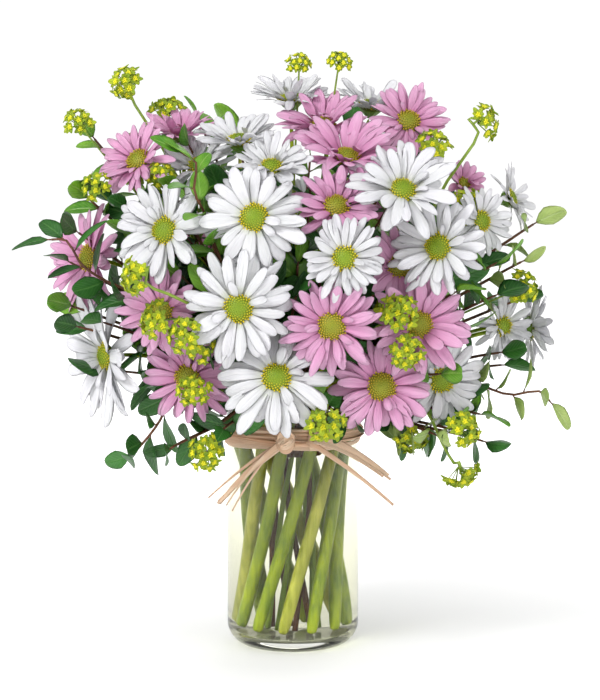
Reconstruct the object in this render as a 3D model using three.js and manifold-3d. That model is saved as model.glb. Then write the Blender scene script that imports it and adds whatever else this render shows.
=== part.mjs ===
// A daisy bouquet in a straight glass vase: ten spray stems of white and pink daisies, four twigs
// of glossy leaves and four stems of yellow umbels, standing in water, with a raffia tie.
// Millimetres, +Z up. The origin is the centre of the vase's flat foot, and the front faces -Y.
import * as THREE from "three";
import { mergeVertices } from "three/addons/utils/BufferGeometryUtils.js";
import Module from "manifold-3d";

const wasm = await Module();
wasm.setup();

// ---- driving dimensions ----------------------------------------------------------------------
const GAP = 0.35; // free space kept between neighbouring pieces
const VASE = { radius: 41, wall: 3, floor: 8, height: 150, corner: 14, lip: 1.2, sides: 36 };
const WATER_LEVEL = 131;
const DOME = { centre: 228, across: 132, tall: 120, front: 98, back: 74 }; // the daisies lie on it
const EYE = [5, -1310, 310]; // where the bouquet's front was arranged from
const STEM = { radius: 3.9, sides: 8, steps: 8, foot: 26, mouth: 30, twist: -85 };
const PEDICEL = { radius: 1.5, sides: 6, steps: 4 };
const CALYX = { radius: 4.2, height: 7 }; // the green cup under a daisy's disc
const DISC = { radius: 8.5, rise: 5 };
const PETAL_SHARE = 0.88; // the daisy's solid stops short of its petal tips, which interleave
const FORK_SHARE = 0.4; // how far up towards its flowers a spray stem forks
const TWIG = { radius: 1.6, sides: 5, steps: 18, foot: 12, mouth: 14, twist: -85 };
const LEAF = { length: 24, width: 12, thick: 0.9, stalk: 3, count: 7 };
const UMBEL = { radius: 10, rise: 7, ray: 26 };
const RAFFIA = { height: 134, band: 7, thick: 1.3, strand: 5 };

// ---- materials -------------------------------------------------------------------------------
const material = (color, roughness, extra = {}) =>
  new THREE.MeshStandardMaterial({ color, roughness, metalness: 0, ...extra });
const MATERIALS = {
  glass: material(0xe6eee6, 0.05, { transparent: true, opacity: 0.3 }),
  water: material(0xdfe8d8, 0.05, { transparent: true, opacity: 0.4 }),
  stem: material(0x7f9c2e, 0.5),
  white: material(0xf4f4f6, 0.6),
  pink: material(0xdf9fc4, 0.6),
  leaf: material(0x2f7a24, 0.35),
  umbel: material(0xbfc21c, 0.7),
  raffia: material(0xe0bd96, 0.8),
};

// ---- the flowers -----------------------------------------------------------------------------
// A daisy: where its disc is seen from the eye, at the depth of the vase's axis (x across, z up),
// how far its petals are seen to reach, which way it faces (degrees turned to +X and lifted up),
// how far its petals stand up from flat, and how much deeper than the dome it sits. One that is
// turned past a right angle sits on the back, where its x, z and reach are its own.
const daisy = (x, z, reach, turn, lift, cup, deeper = 0) => ({
  x, z, reach, turn, lift, cup, deeper, back: Math.abs(turn) > 120,
});

// One cut stem with its daisies, the same colour all over, and its place round the vase's mouth
// (degrees from +X). The ten places are 36 degrees apart.
const SPRAYS = {
  a: { colour: "white", place: 126, daisies: [
    daisy(-24, 266, 33, 0, 10, 5), daisy(-79, 258, 32, -25, 15, 12), daisy(-58, 298, 25, -20, 50, 20, 25),
    daisy(-33, 313, 27, -5, 68, 22, 14)] },
  b: { colour: "white", place: 198, daisies: [
    daisy(-34, 210, 36, 0, 2, 0, -6), daisy(-116, 180, 41, -60, -4, 8, -10), daisy(-84, 216, 32, -150, 8, 8)] },
  c: { colour: "white", place: 270, daisies: [
    daisy(-10, 167, 38, 0, 20, -8, -8), daisy(32, 241, 26, -4, 4, 4, -6), daisy(92, 165, 28, 20, 2, 8)] },
  d: { colour: "white", place: 342, daisies: [
    daisy(68, 283, 34, 8, 42, 24), daisy(90, 248, 31, -25, 5, 18, -4), daisy(116, 264, 23, 38, 8, 8, -10),
    daisy(134, 278, 22, 72, 22, 15, 6)] },
  e: { colour: "white", place: 90, daisies: [
    daisy(-1, 338, 27, 0, 75, 32, 16), daisy(-13, 297, 25, -5, 55, 22, 12), daisy(48, 334, 26, 30, 70, 38, 45),
    daisy(10, 262, 33, 178, 20, 8)] },
  f: { colour: "white", place: 18, daisies: [
    daisy(130, 199, 21, 35, 5, 18, -6), daisy(147, 198, 25, 98, 0, 14, 14), daisy(72, 208, 33, 145, 5, 6)] },
  g: { colour: "pink", place: 162, daisies: [
    daisy(-95, 301, 28, -35, 32, 24), daisy(-69, 317, 24, -10, 70, 42, 22), daisy(-126, 241, 35, -52, 6, 14)] },
  h: { colour: "pink", place: 234, daisies: [
    daisy(-81, 208, 28, -22, 4, 10), daisy(-65, 167, 30, -24, -4, 10, 4), daisy(-44, 250, 32, -160, 25, 10)] },
  i: { colour: "pink", place: 54, daisies: [
    daisy(27, 273, 29, 0, 42, 16), daisy(33, 303, 33, 4, 52, 34, 6), daisy(18, 322, 29, -18, 56, 34, 16),
    daisy(71, 325, 25, 15, 25, 14, 10)] },
  j: { colour: "pink", place: 306, daisies: [
    daisy(24, 199, 31, -4, -2, 4), daisy(78, 200, 34, 10, 12, 12, 2), daisy(55, 161, 31, 6, 4, 2, -4),
    daisy(66, 236, 25, 10, 15, 6, 22), daisy(105, 287, 15, 25, 30, 45, 22), daisy(50, 258, 32, 150, 22, 8)] },
};

// Twigs of glossy leaves and stems of umbels: the point that each reaches, and its place on the
// inner ring, where the eight are 45 degrees apart.
const TWIGS = {
  myrtle_twig_1: { place: 225, tip: [-56, -92, 284] },
  myrtle_twig_2: { place: 180, tip: [-124, -60, 240] },
  myrtle_twig_3: { place: 135, tip: [-84, -62, 140] },
  myrtle_twig_4: { place: 0, tip: [132, -34, 160] },
};
const UMBEL_STEMS = {
  bupleurum_1: { place: 90, tip: [-100, -4, 342] },
  bupleurum_2: { place: 45, tip: [112, -34, 318] },
  bupleurum_3: { place: 270, tip: [-84, -104, 232] },
  bupleurum_4: { place: 315, tip: [96, -62, 122] },
};

// ---- solids ----------------------------------------------------------------------------------
const DEG = Math.PI / 180;
const UP = new THREE.Vector3(0, 0, 1);

// The closed solid of a geometry, with the vertices that share a place merged.
function solid(geometry) {
  const bare = geometry.clone();
  bare.deleteAttribute("normal");
  bare.deleteAttribute("uv");
  const merged = mergeVertices(bare, 1e-3);
  return new wasm.Manifold(new wasm.Mesh({
    numProp: 3,
    vertProperties: merged.attributes.position.array,
    triVerts: new Uint32Array(merged.index.array),
  }));
}

function geometryOf(body) {
  const mesh = body.getMesh();
  const geometry = new THREE.BufferGeometry();
  geometry.setAttribute("position", new THREE.BufferAttribute(mesh.vertProperties, 3));
  geometry.setIndex(new THREE.BufferAttribute(mesh.triVerts, 1));
  geometry.computeVertexNormals();
  return geometry;
}

// A profile of [radius, height] turned about +Z.
function turned(profile, sides) {
  const points = profile.map(([r, h]) => new THREE.Vector2(r, h));
  return new THREE.LatheGeometry(points, sides).rotateX(Math.PI / 2);
}

// A round rod of that radius carried along a curve.
function rod(curve, { radius, sides, steps }, grow = 0) {
  const ring = Array.from({ length: sides }, (_, i) => {
    const a = (i / sides) * 2 * Math.PI;
    return new THREE.Vector2(Math.cos(a), Math.sin(a)).multiplyScalar(radius + grow);
  });
  return solid(new THREE.ExtrudeGeometry(new THREE.Shape(ring), {
    steps, bevelEnabled: false, extrudePath: curve,
  }));
}

// A solid made standing on the origin, set down at a point with its +Z along a direction.
function standing(geometry, point, direction) {
  const turn = new THREE.Quaternion().setFromUnitVectors(UP, direction);
  return solid(geometry.applyQuaternion(turn).translate(point.x, point.y, point.z));
}

// ---- placing pieces clear of each other ------------------------------------------------------
const inWater = []; // every stem and twig, grown by the gap
const placed = new Map(); // node name to its solid
const TOUCH_MM3 = 0.004;

const overlaps = (a, b) => {
  const p = a.boundingBox(), q = b.boundingBox();
  if ([0, 1, 2].some((k) => p.min[k] > q.max[k] || q.min[k] > p.max[k])) return false;
  return a.intersect(b).volume() > TOUCH_MM3;
};
const clear = (body, own) => ![...placed].some(([name, other]) => name !== own && overlaps(body, other));

// The first of make(0), make(1) and so on whose grown solid touches nothing of another node.
function firstClear(make, tries, own) {
  for (let k = 0; k < tries; k++) if (clear(make(k, GAP), own)) return k;
  return -1;
}

// Steps away from zero on both sides: 0, 1, -1, 2, -2 and so on.
const fan = (k) => (k % 2 ? (k + 1) / 2 : -k / 2);

// ---- the vase --------------------------------------------------------------------------------
// Points of a quarter circle of that radius about [r, h], from one angle to another in degrees.
const arc = (r, h, radius, from, to, steps = 4) =>
  Array.from({ length: steps + 1 }, (_, i) => {
    const a = (from + ((to - from) * i) / steps) * DEG;
    return [r + radius * Math.cos(a), h + radius * Math.sin(a)];
  });

function vaseProfile() {
  const { radius, wall, floor, height, corner, lip } = VASE;
  const inside = radius - wall, bend = corner - wall;
  return [
    [0, 0],
    ...arc(radius - corner, corner, corner, -90, 0),
    ...arc(radius - lip, height - lip, lip, 0, 90, 2),
    ...arc(inside + lip, height - lip, lip, 90, 180, 2),
    ...arc(inside - bend, floor + bend, bend, 0, -90),
    [0, floor],
  ];
}

// The water reaches the wall but for the gap, up to its level.
function waterProfile() {
  const { radius, wall, floor, corner } = VASE;
  const inside = radius - wall, bend = corner - wall;
  return [
    [0, floor + GAP],
    ...arc(inside - bend, floor + bend, bend - GAP, -90, 0),
    [inside - GAP, WATER_LEVEL],
    [0, WATER_LEVEL],
  ];
}

// ---- stems in the vase -----------------------------------------------------------------------
const polar = (radius, angle, z) => new THREE.Vector3(radius * Math.cos(angle), radius * Math.sin(angle), z);

// The stems stand in a ring and all lean in the same turning direction, as in a hand-tied bunch,
// so that each is straight from its foot on the vase's floor to the mouth and none touches.
const mouthPoint = (size, place) => polar(size.mouth, place * DEG, VASE.height);
function stemPath(size, place, ...rest) {
  const foot = polar(size.foot, (place + size.twist) * DEG, VASE.floor + 2.6);
  const mouth = mouthPoint(size, place);
  const middle = foot.clone().lerp(mouth, 0.5);
  return new THREE.CatmullRomCurve3([foot, middle, mouth, ...rest], false, "centripetal");
}

// ---- daisies ---------------------------------------------------------------------------------
const facing = ({ turn, lift }) => new THREE.Vector3(
  Math.sin(turn * DEG) * Math.cos(lift * DEG),
  -Math.cos(turn * DEG) * Math.cos(lift * DEG),
  Math.sin(lift * DEG),
);

// The depth of the dome at a daisy's place, less where the daisy sits deeper.
function depth({ x, z, back, deeper }) {
  const rest = 1 - (x / DOME.across) ** 2 - ((z - DOME.centre) / DOME.tall) ** 2;
  const bulge = Math.sqrt(Math.max(0, rest));
  return back ? DOME.back * bulge - deeper : deeper - DOME.front * bulge;
}

// A daisy's true place and reach once it sits that much further in than the dome: on the line of
// sight on the front, and straight in on the back.
function seat(flower, further) {
  if (flower.back) {
    return { point: new THREE.Vector3(flower.x, depth(flower) - further, flower.z), reach: flower.reach };
  }
  const eye = new THREE.Vector3(...EYE), y = depth(flower) + further;
  const share = (y - eye.y) / -eye.y;
  const point = eye.clone().lerp(new THREE.Vector3(flower.x, 0, flower.z), share);
  return { point, reach: flower.reach * share };
}

// The head's solid, standing on its calyx: a cone out to the petals' rim, then in to the disc.
function headGeometry({ reach, cup }, grow = 0) {
  const out = (reach * PETAL_SHARE + grow) * Math.cos(cup * DEG);
  const rim = CALYX.height + reach * PETAL_SHARE * Math.sin(cup * DEG);
  const top = Math.max(CALYX.height + DISC.rise, rim + 1.8);
  const face = top > rim + 1.8 ? DISC.radius : out - 3;
  return turned([[0, -grow], [CALYX.radius + grow, -grow], [out, rim - grow], [out, rim + 1 + grow],
    [face, top + grow], [0, top + grow]], 12);
}

// Sets a daisy on the dome and moves it inwards until it clears the ones before it.
function setDaisy(name, flower) {
  const towards = facing(flower);
  const head = (k, grow) => {
    const { point, reach } = seat(flower, 1.5 * k);
    const foot = point.addScaledVector(towards, -CALYX.height);
    return { foot, body: standing(headGeometry({ reach, cup: flower.cup }, grow), foot, towards) };
  };
  const k = firstClear((n, grow) => head(n, grow).body, 60, name);
  if (k < 0) throw new Error(name + " finds no room on the dome");
  const { foot, body } = head(k, 0);
  placed.set(name, body);
  return { name, foot, towards };
}

// The stalk from a stem's fork to a daisy's foot. Each try bows it further, or another way.
function pedicel(stemName, fork, head) {
  const end = head.foot.clone().addScaledVector(head.towards, -GAP);
  const span = end.clone().sub(fork), length = span.length();
  const along = span.clone().normalize();
  const side = new THREE.Vector3().crossVectors(span, UP).normalize();
  const curve = (k) => {
    const bow = side.clone().applyAxisAngle(along, k * 50 * DEG).multiplyScalar(k ? 4 + k : 0);
    const reach = length * (0.35 + 0.12 * (k % 3));
    const start = fork.clone().addScaledVector(span, 0.25).add(bow);
    start.z += 0.05 * length;
    const finish = end.clone().addScaledVector(head.towards, -Math.min(reach, 40)).addScaledVector(bow, 0.5);
    return new THREE.CubicBezierCurve3(fork, start, finish, end);
  };
  const route = (n, grow) => rod(curve(n), PEDICEL, grow).subtract(headRoom(head)).add(rod(curve(n), PEDICEL));
  const k = firstClear(route, 60, stemName);
  if (k < 0) throw new Error(head.name + " finds no clear way for its stalk");
  return rod(curve(k), PEDICEL);
}

// The grown stalk may touch its own daisy's foot, where the two meet face to face.
const headRoom = (head) => standing(turned([[0, -1.2], [9, -1.2], [9, 3], [0, 3]], 12), head.foot, head.towards);

// ---- leaves and umbels -----------------------------------------------------------------------
// A pointed oval blade that lies along +Z with its stalk end at the origin.
function leafGeometry(grow = 0) {
  const { length, width, thick, stalk } = LEAF;
  const bulge = width + 2 * grow;
  const outline = new THREE.Shape();
  outline.moveTo(-0.7, -0.8);
  outline.lineTo(0.7, -0.8);
  outline.lineTo(0.7, stalk);
  outline.quadraticCurveTo(bulge, length * 0.5, 0, length + grow);
  outline.quadraticCurveTo(-bulge, length * 0.5, -0.7, stalk);
  const blade = new THREE.ExtrudeGeometry(outline, {
    depth: thick + 2 * grow, bevelEnabled: false, curveSegments: 3,
  });
  return blade.translate(0, 0, -thick / 2 - grow).rotateX(Math.PI / 2);
}

const umbelGeometry = (grow = 0) => turned([[0, -grow], [2 + grow, -grow], [UMBEL.radius + grow, UMBEL.rise * 0.6],
  [UMBEL.radius * 0.6, UMBEL.rise + grow], [0, UMBEL.rise + 1 + grow]], 8);

// A twig whose last stretch carries leaves in turn round it, each where it is clear.
function leafyTwig(name, twig) {
  const path = twigPath(name, twig);
  let body = rod(path, TWIG);
  for (let i = 0; i < LEAF.count; i++) {
    const at = 1 - i / TWIG.steps;
    const root = path.getPointAt(at), along = path.getTangentAt(at);
    const lean = i ? 52 : 8;
    const place = (k, grow) => {
      const side = new THREE.Vector3().crossVectors(along, UP).normalize()
        .applyAxisAngle(along, (i * 180 + Math.floor(i / 2) * 50 + k * 25) * DEG);
      return standing(leafGeometry(grow), root, along.clone().applyAxisAngle(side, lean * DEG).normalize());
    };
    const k = firstClear(place, 14, name);
    if (k >= 0) body = body.add(place(k, 0));
  }
  return body;
}

// A stem that ends in one umbel and carries two more on rays below it.
function umbelStem(name, twig) {
  const path = twigPath(name, twig);
  const top = path.getPointAt(1), onwards = path.getTangentAt(1);
  let body = rod(path, TWIG).add(standing(umbelGeometry(), top.addScaledVector(onwards, -1), onwards));
  for (const [step, spin] of [[2, 0], [3, 180]]) {
    const at = 1 - step / TWIG.steps;
    const root = path.getPointAt(at), along = path.getTangentAt(at);
    const branch = (k, grow) => {
      const axis = new THREE.Vector3().crossVectors(along, UP).normalize().applyAxisAngle(along, (spin + k * 30) * DEG);
      const away = along.clone().applyAxisAngle(axis, 48 * DEG);
      const far = root.clone().addScaledVector(away, UMBEL.ray);
      const ray = rod(new THREE.LineCurve3(root, far), { radius: 1, sides: 5, steps: 1 }, grow);
      return ray.add(standing(umbelGeometry(grow), far.clone().addScaledVector(away, -1), away));
    };
    const k = firstClear(branch, 12, name);
    if (k >= 0) body = body.add(branch(k, 0));
  }
  return body;
}

// A twig's way from the inner ring out to its tip. Each try sends it through another point.
function twigPath(name, { place, tip }) {
  const end = new THREE.Vector3(...tip), mouth = mouthPoint(TWIG, place);
  const path = (k) => {
    const elbow = mouth.clone().lerp(end, 0.4 + 0.1 * (k % 3));
    elbow.z = Math.max(VASE.height + 30, elbow.z) + 8 * fan(Math.floor(k / 3) % 5);
    elbow.add(polar(7 * Math.ceil(k / 15), k * 50 * DEG, 0));
    return stemPath(TWIG, place, elbow, end);
  };
  const k = firstClear((n, grow) => rod(path(n), TWIG, grow), 240, name);
  if (k < 0) throw new Error(name + " finds no clear way to its tip");
  inWater.push(rod(path(k), TWIG, GAP));
  return path(k);
}

// ---- raffia ----------------------------------------------------------------------------------
// A flat strip carried along a curve through the points.
function strip(points, width, thick, steps) {
  const shape = new THREE.Shape([
    new THREE.Vector2(-thick / 2, -width / 2), new THREE.Vector2(thick / 2, -width / 2),
    new THREE.Vector2(thick / 2, width / 2), new THREE.Vector2(-thick / 2, width / 2),
  ]);
  const curve = new THREE.CatmullRomCurve3(points.map((p) => new THREE.Vector3(...p)));
  return solid(new THREE.ExtrudeGeometry(shape, { steps, bevelEnabled: false, extrudePath: curve }));
}

function raffiaBand() {
  const inner = VASE.radius + GAP, outer = inner + RAFFIA.thick, half = RAFFIA.band / 2;
  return solid(turned([[inner, -half], [outer, -half], [outer, half], [inner, half], [inner, -half]], VASE.sides)
    .translate(0, 0, RAFFIA.height));
}

// The knot and the tails sit on the front of the band, and the tails' ends stand off the glass.
const FRONT = VASE.radius + GAP + RAFFIA.thick + GAP;
function raffiaKnot() {
  const knot = new THREE.SphereGeometry(5, 8, 6).scale(1.2, 0.6, 0.8)
    .translate(-4, -FRONT - 3.1, RAFFIA.height);
  const left = strip([[-5, -FRONT - 3, RAFFIA.height - 1], [-20, -FRONT - 4, RAFFIA.height - 13],
    [-34, -FRONT - 1, RAFFIA.height - 27], [-48, -FRONT + 2, RAFFIA.height - 35]], RAFFIA.strand, RAFFIA.thick, 6);
  return solid(knot).add(left);
}
const raffiaTail = () => strip([[4, -FRONT - 3, RAFFIA.height], [22, -FRONT - 2, RAFFIA.height - 4],
  [38, -FRONT + 1, RAFFIA.height - 15], [55, -FRONT + 4, RAFFIA.height - 23]], RAFFIA.strand, RAFFIA.thick, 6);

// ---- the bouquet, piece by piece --------------------------------------------------------------
const bouquet = new THREE.Group();
const add = (name, body, finish) => {
  placed.set(name, body);
  const mesh = new THREE.Mesh(geometryOf(body), finish);
  mesh.name = name;
  bouquet.add(mesh);
  return mesh;
};

add("vase", solid(turned(vaseProfile(), VASE.sides)), MATERIALS.glass);
add("raffia_band", raffiaBand(), MATERIALS.raffia);
add("raffia_knot", raffiaKnot(), MATERIALS.raffia);
add("raffia_tail", raffiaTail(), MATERIALS.raffia);

// Every stem forks part of the way from the mouth towards the middle of its flowers.
for (const [letter, spray] of Object.entries(SPRAYS)) {
  const middle = new THREE.Vector3();
  for (const flower of spray.daisies) middle.add(new THREE.Vector3(flower.x, depth(flower), flower.z));
  middle.divideScalar(spray.daisies.length);
  spray.fork = mouthPoint(STEM, spray.place).lerp(middle, FORK_SHARE);
  spray.stem = `${spray.colour}_stem_${letter}`;
  const path = stemPath(STEM, spray.place, spray.fork);
  placed.set(spray.stem, rod(path, STEM));
  inWater.push(rod(path, STEM, GAP));
}

// The daisies nearest the front are set first, so that the others find room behind them.
const heads = Object.entries(SPRAYS).flatMap(([letter, spray]) =>
  spray.daisies.map((flower, i) => ({ name: `${spray.colour}_daisy_${letter}${i + 1}`, spray, flower })));
heads.sort((a, b) => Math.abs(depth(b.flower)) - Math.abs(depth(a.flower)));
for (const head of heads) {
  head.set = setDaisy(head.name, head.flower);
  add(head.name, placed.get(head.name), MATERIALS[head.spray.colour]);
}
for (const { stem, fork } of Object.values(SPRAYS)) {
  const swelling = solid(new THREE.SphereGeometry(STEM.radius * 1.25, 8, 6).translate(fork.x, fork.y, fork.z));
  placed.set(stem, placed.get(stem).add(swelling));
}
for (const head of heads) {
  const { stem, fork } = head.spray;
  placed.set(stem, placed.get(stem).add(pedicel(stem, fork, head.set)));
}
for (const { stem } of Object.values(SPRAYS)) add(stem, placed.get(stem), MATERIALS.stem);

for (const [name, twig] of Object.entries(TWIGS)) add(name, leafyTwig(name, twig), MATERIALS.leaf);
for (const [name, twig] of Object.entries(UMBEL_STEMS)) add(name, umbelStem(name, twig), MATERIALS.umbel);

// The water fills the vase round the stems.
const water = inWater.reduce((body, stem) => body.subtract(stem), solid(turned(waterProfile(), VASE.sides)));
add("water", water, MATERIALS.water);

export default bouquet;
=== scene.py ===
"""The looks of a daisy bouquet in a glass vase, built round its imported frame.

Every shape is worked out in millimetres with numpy and put into the mesh in metres.
"""

import logging
import math
from dataclasses import dataclass, field
from enum import Enum
from typing import Union

import bmesh
import bpy
import numpy as np
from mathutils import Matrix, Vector


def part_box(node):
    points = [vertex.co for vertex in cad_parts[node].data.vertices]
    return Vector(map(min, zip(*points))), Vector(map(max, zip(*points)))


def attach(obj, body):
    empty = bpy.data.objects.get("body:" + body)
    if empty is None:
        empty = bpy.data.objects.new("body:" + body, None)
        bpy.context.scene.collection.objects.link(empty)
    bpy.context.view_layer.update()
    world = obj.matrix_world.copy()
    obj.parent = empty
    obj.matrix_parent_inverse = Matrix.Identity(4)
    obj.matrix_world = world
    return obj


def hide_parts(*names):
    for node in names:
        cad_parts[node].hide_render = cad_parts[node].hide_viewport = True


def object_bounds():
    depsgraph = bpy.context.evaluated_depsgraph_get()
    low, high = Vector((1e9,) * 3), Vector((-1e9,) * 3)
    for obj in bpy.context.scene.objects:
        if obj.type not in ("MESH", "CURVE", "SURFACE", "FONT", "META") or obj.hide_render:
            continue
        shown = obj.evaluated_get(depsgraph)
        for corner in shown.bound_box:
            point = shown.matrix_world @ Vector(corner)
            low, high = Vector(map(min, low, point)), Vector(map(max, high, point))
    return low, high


Colour = tuple[float, float, float]
Material = bpy.types.Material
Node = bpy.types.Node
Socket = bpy.types.NodeSocket
Tree = bpy.types.NodeTree
Value = Union[Socket, float, tuple]

LOG = logging.getLogger("bouquet")
MM = 0.001
GOLDEN = math.pi * (3 - math.sqrt(5))
UP = np.array([0.0, 0.0, 1.0])

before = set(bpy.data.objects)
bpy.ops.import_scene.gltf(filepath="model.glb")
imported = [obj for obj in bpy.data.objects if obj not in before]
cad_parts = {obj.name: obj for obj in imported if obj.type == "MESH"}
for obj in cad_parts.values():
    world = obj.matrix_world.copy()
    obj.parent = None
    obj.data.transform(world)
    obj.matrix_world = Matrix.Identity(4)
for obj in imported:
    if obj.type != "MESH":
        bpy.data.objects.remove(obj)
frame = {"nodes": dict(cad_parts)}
CAD_BOX = [list(corner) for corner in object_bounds()]


# ---- surfaces ----------------------------------------------------------------------------------


@dataclass
class Surface:
    """Points and faces of closed shapes, with where each point lies on its shape.

    Fields:
        points: n by 3, in millimetres.
        quads: faces of four corners.
        tris: faces of three corners.
        place: n by 2, across and along the shape, from 0 to 1.
        tint: n values from 0 to 1, one random value for each shape.
        finish: the number of the finish of all the faces.
    """

    points: np.ndarray
    quads: np.ndarray
    tris: np.ndarray
    place: np.ndarray
    tint: np.ndarray
    finish: int = 0


def closed_tubes(rings: np.ndarray, tint: np.ndarray, finish: int = 0) -> Surface:
    """Closes rows of rings into solids, with a middle point on each end ring.

    Neighbouring rings are joined by quads; each end is a fan of triangles to its middle point.

    Args:
        rings: tubes by rings by points by 3; the points turn right-handed about the way along.
        tint: one value for each tube.
        finish: the number of the finish.

    Returns:
        The surface of all the tubes.
    """
    tubes, count, sides, _ = rings.shape
    ends = rings[:, [0, -1]].mean(axis=2)
    points = np.concatenate([rings.reshape(tubes, count * sides, 3), ends], axis=1)
    ring, side = np.meshgrid(np.arange(count - 1), np.arange(sides), indexing="ij")
    a, b = ring * sides + side, ring * sides + (side + 1) % sides
    quads = np.stack([a, b, b + sides, a + sides], axis=-1).reshape(-1, 4)
    s, t = np.arange(sides), (np.arange(sides) + 1) % sides
    first, last, base = count * sides, count * sides + 1, (count - 1) * sides
    foot_fan = np.stack([np.full(sides, first), t, s], axis=-1)
    head_fan = np.stack([np.full(sides, last), base + s, base + t], axis=-1)
    tris = np.concatenate([foot_fan, head_fan])
    shift = (np.arange(tubes) * (count * sides + 2))[:, None, None]
    angle = np.linspace(0, 2 * np.pi, sides, endpoint=False)
    across = np.broadcast_to(0.5 + 0.5 * np.cos(angle), (count, sides))
    along = np.broadcast_to(np.linspace(0, 1, count)[:, None], (count, sides))
    place = np.stack([across, along], axis=-1).reshape(-1, 2)
    place = np.concatenate([place, [[0.5, 0.0], [0.5, 1.0]]])
    return Surface(
        points.reshape(-1, 3),
        (quads[None] + shift).reshape(-1, 4),
        (tris[None] + shift).reshape(-1, 3),
        np.tile(place, (tubes, 1)),
        np.repeat(tint, count * sides + 2),
        finish,
    )


def turned(profile: np.ndarray, sides: int, tint: float = 0.5, finish: int = 0) -> Surface:
    """A solid of revolution: each point of the profile goes once round the Z axis.

    Args:
        profile: n by 2, radius and height, from the foot upwards; the ends are closed by a fan.
        sides: points round the axis.
        tint: the value of the shape.
        finish: the number of the finish.

    Returns:
        The closed surface.
    """
    angle = np.linspace(0, 2 * np.pi, sides, endpoint=False)
    ring = np.stack([np.cos(angle), np.sin(angle)], axis=-1)
    flat = profile[:, 0][:, None, None] * ring[None]
    high = np.broadcast_to(profile[:, 1][:, None, None], (len(profile), sides, 1))
    rings = np.concatenate([flat, high], axis=-1)
    return closed_tubes(rings[None], np.array([tint]), finish)


def joined(surfaces: list[Surface]) -> list[Surface]:
    """The same surfaces with their faces numbered in one list of points."""
    start = 0
    moved = []
    for s in surfaces:
        moved.append(Surface(s.points, s.quads + start, s.tris + start, s.place, s.tint, s.finish))
        start += len(s.points)
    return moved


def make_piece(
    name: str,
    surfaces: list[Surface],
    finishes: list[Material],
    replaces: tuple[str, ...] = (),
    flat: bool = False,
) -> bpy.types.Object:
    """Puts surfaces into one mesh object that rides on the body.

    Args:
        name: the object's name.
        surfaces: closed surfaces in millimetres.
        finishes: the materials that the surfaces' finish numbers name.
        replaces: CAD nodes that the piece stands for.
        flat: whether the faces stay flat-shaded.

    Returns:
        The object.
    """
    parts = joined(surfaces)
    points = np.concatenate([p.points for p in parts]) * MM
    place = np.concatenate([p.place for p in parts])
    tint = np.concatenate([p.tint for p in parts])
    corners, sizes, material = [], [], []
    for p in parts:
        for faces in (p.quads, p.tris):
            if len(faces):
                corners.append(faces.reshape(-1))
                sizes.append(np.full(len(faces), faces.shape[1]))
                material.append(np.full(len(faces), p.finish))
    corners, sizes, material = (np.concatenate(x).astype(np.int32) for x in (corners, sizes, material))
    mesh = bpy.data.meshes.new(name)
    mesh.vertices.add(len(points))
    mesh.vertices.foreach_set("co", points.astype(np.float32).reshape(-1))
    mesh.loops.add(len(corners))
    mesh.loops.foreach_set("vertex_index", corners)
    mesh.polygons.add(len(sizes))
    mesh.polygons.foreach_set("loop_start", (np.cumsum(sizes) - sizes).astype(np.int32))
    mesh.polygons.foreach_set("loop_total", sizes)
    mesh.polygons.foreach_set("material_index", material)
    mesh.update(calc_edges=True)
    uv = mesh.uv_layers.new(name="place")
    uv.data.foreach_set("uv", place[corners].astype(np.float32).reshape(-1))
    shade = mesh.attributes.new("tint", "FLOAT", "POINT")
    shade.data.foreach_set("value", tint.astype(np.float32))
    mesh.polygons.foreach_set("use_smooth", np.full(len(sizes), not flat))
    for finish in finishes:
        mesh.materials.append(finish)
    mesh.validate()
    piece = bpy.data.objects.new(name, mesh)
    bpy.context.scene.collection.objects.link(piece)
    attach(piece, "root")
    if replaces:
        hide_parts(*replaces)
    LOG.info("%s: %d faces", name, len(sizes))
    return piece


def unit(v: np.ndarray) -> np.ndarray:
    """Vectors of length one in the same directions."""
    return v / np.maximum(np.linalg.norm(v, axis=-1, keepdims=True), 1e-9)


def basis(direction: np.ndarray, near: np.ndarray = UP) -> np.ndarray:
    """Frames whose third row is the direction.

    Args:
        direction: n by 3.
        near: a direction, or n of them, that the second row stays close to.

    Returns:
        n by 3 by 3: side, second and direction as rows, right-handed.
    """
    direction = unit(direction)
    near = np.broadcast_to(near, direction.shape)
    lying = np.abs((direction * unit(near)).sum(-1, keepdims=True)) > 0.97
    near = np.where(lying, np.array([0.31, 0.83, 0.46]), near)
    side = unit(np.cross(near, direction))
    return np.stack([side, np.cross(direction, side), direction], axis=-2)


def smooth_line(points: np.ndarray, count: int) -> np.ndarray:
    """A smooth line through points: a Catmull-Rom spline, sampled evenly in its parameter.

    Args:
        points: n by 3.
        count: points to return.

    Returns:
        count by 3.
    """
    padded = np.concatenate([[2 * points[0] - points[1]], points, [2 * points[-1] - points[-2]]])
    t = np.linspace(0, len(points) - 1, count)
    i = np.minimum(t.astype(int), len(points) - 2)
    u = (t - i)[:, None]
    p0, p1, p2, p3 = (padded[i + k] for k in range(4))
    square, cube = 2 * p0 - 5 * p1 + 4 * p2 - p3, 3 * p1 - p0 - 3 * p2 + p3
    return 0.5 * (2 * p1 + (p2 - p0) * u + square * u**2 + cube * u**3)


def spokes(bearing: np.ndarray, rise: np.ndarray) -> np.ndarray:
    """Directions of length one at bearings round Z, lifted from flat by the rise."""
    return np.stack([np.cos(bearing) * np.cos(rise), np.sin(bearing) * np.cos(rise), np.sin(rise)], axis=-1)


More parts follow.
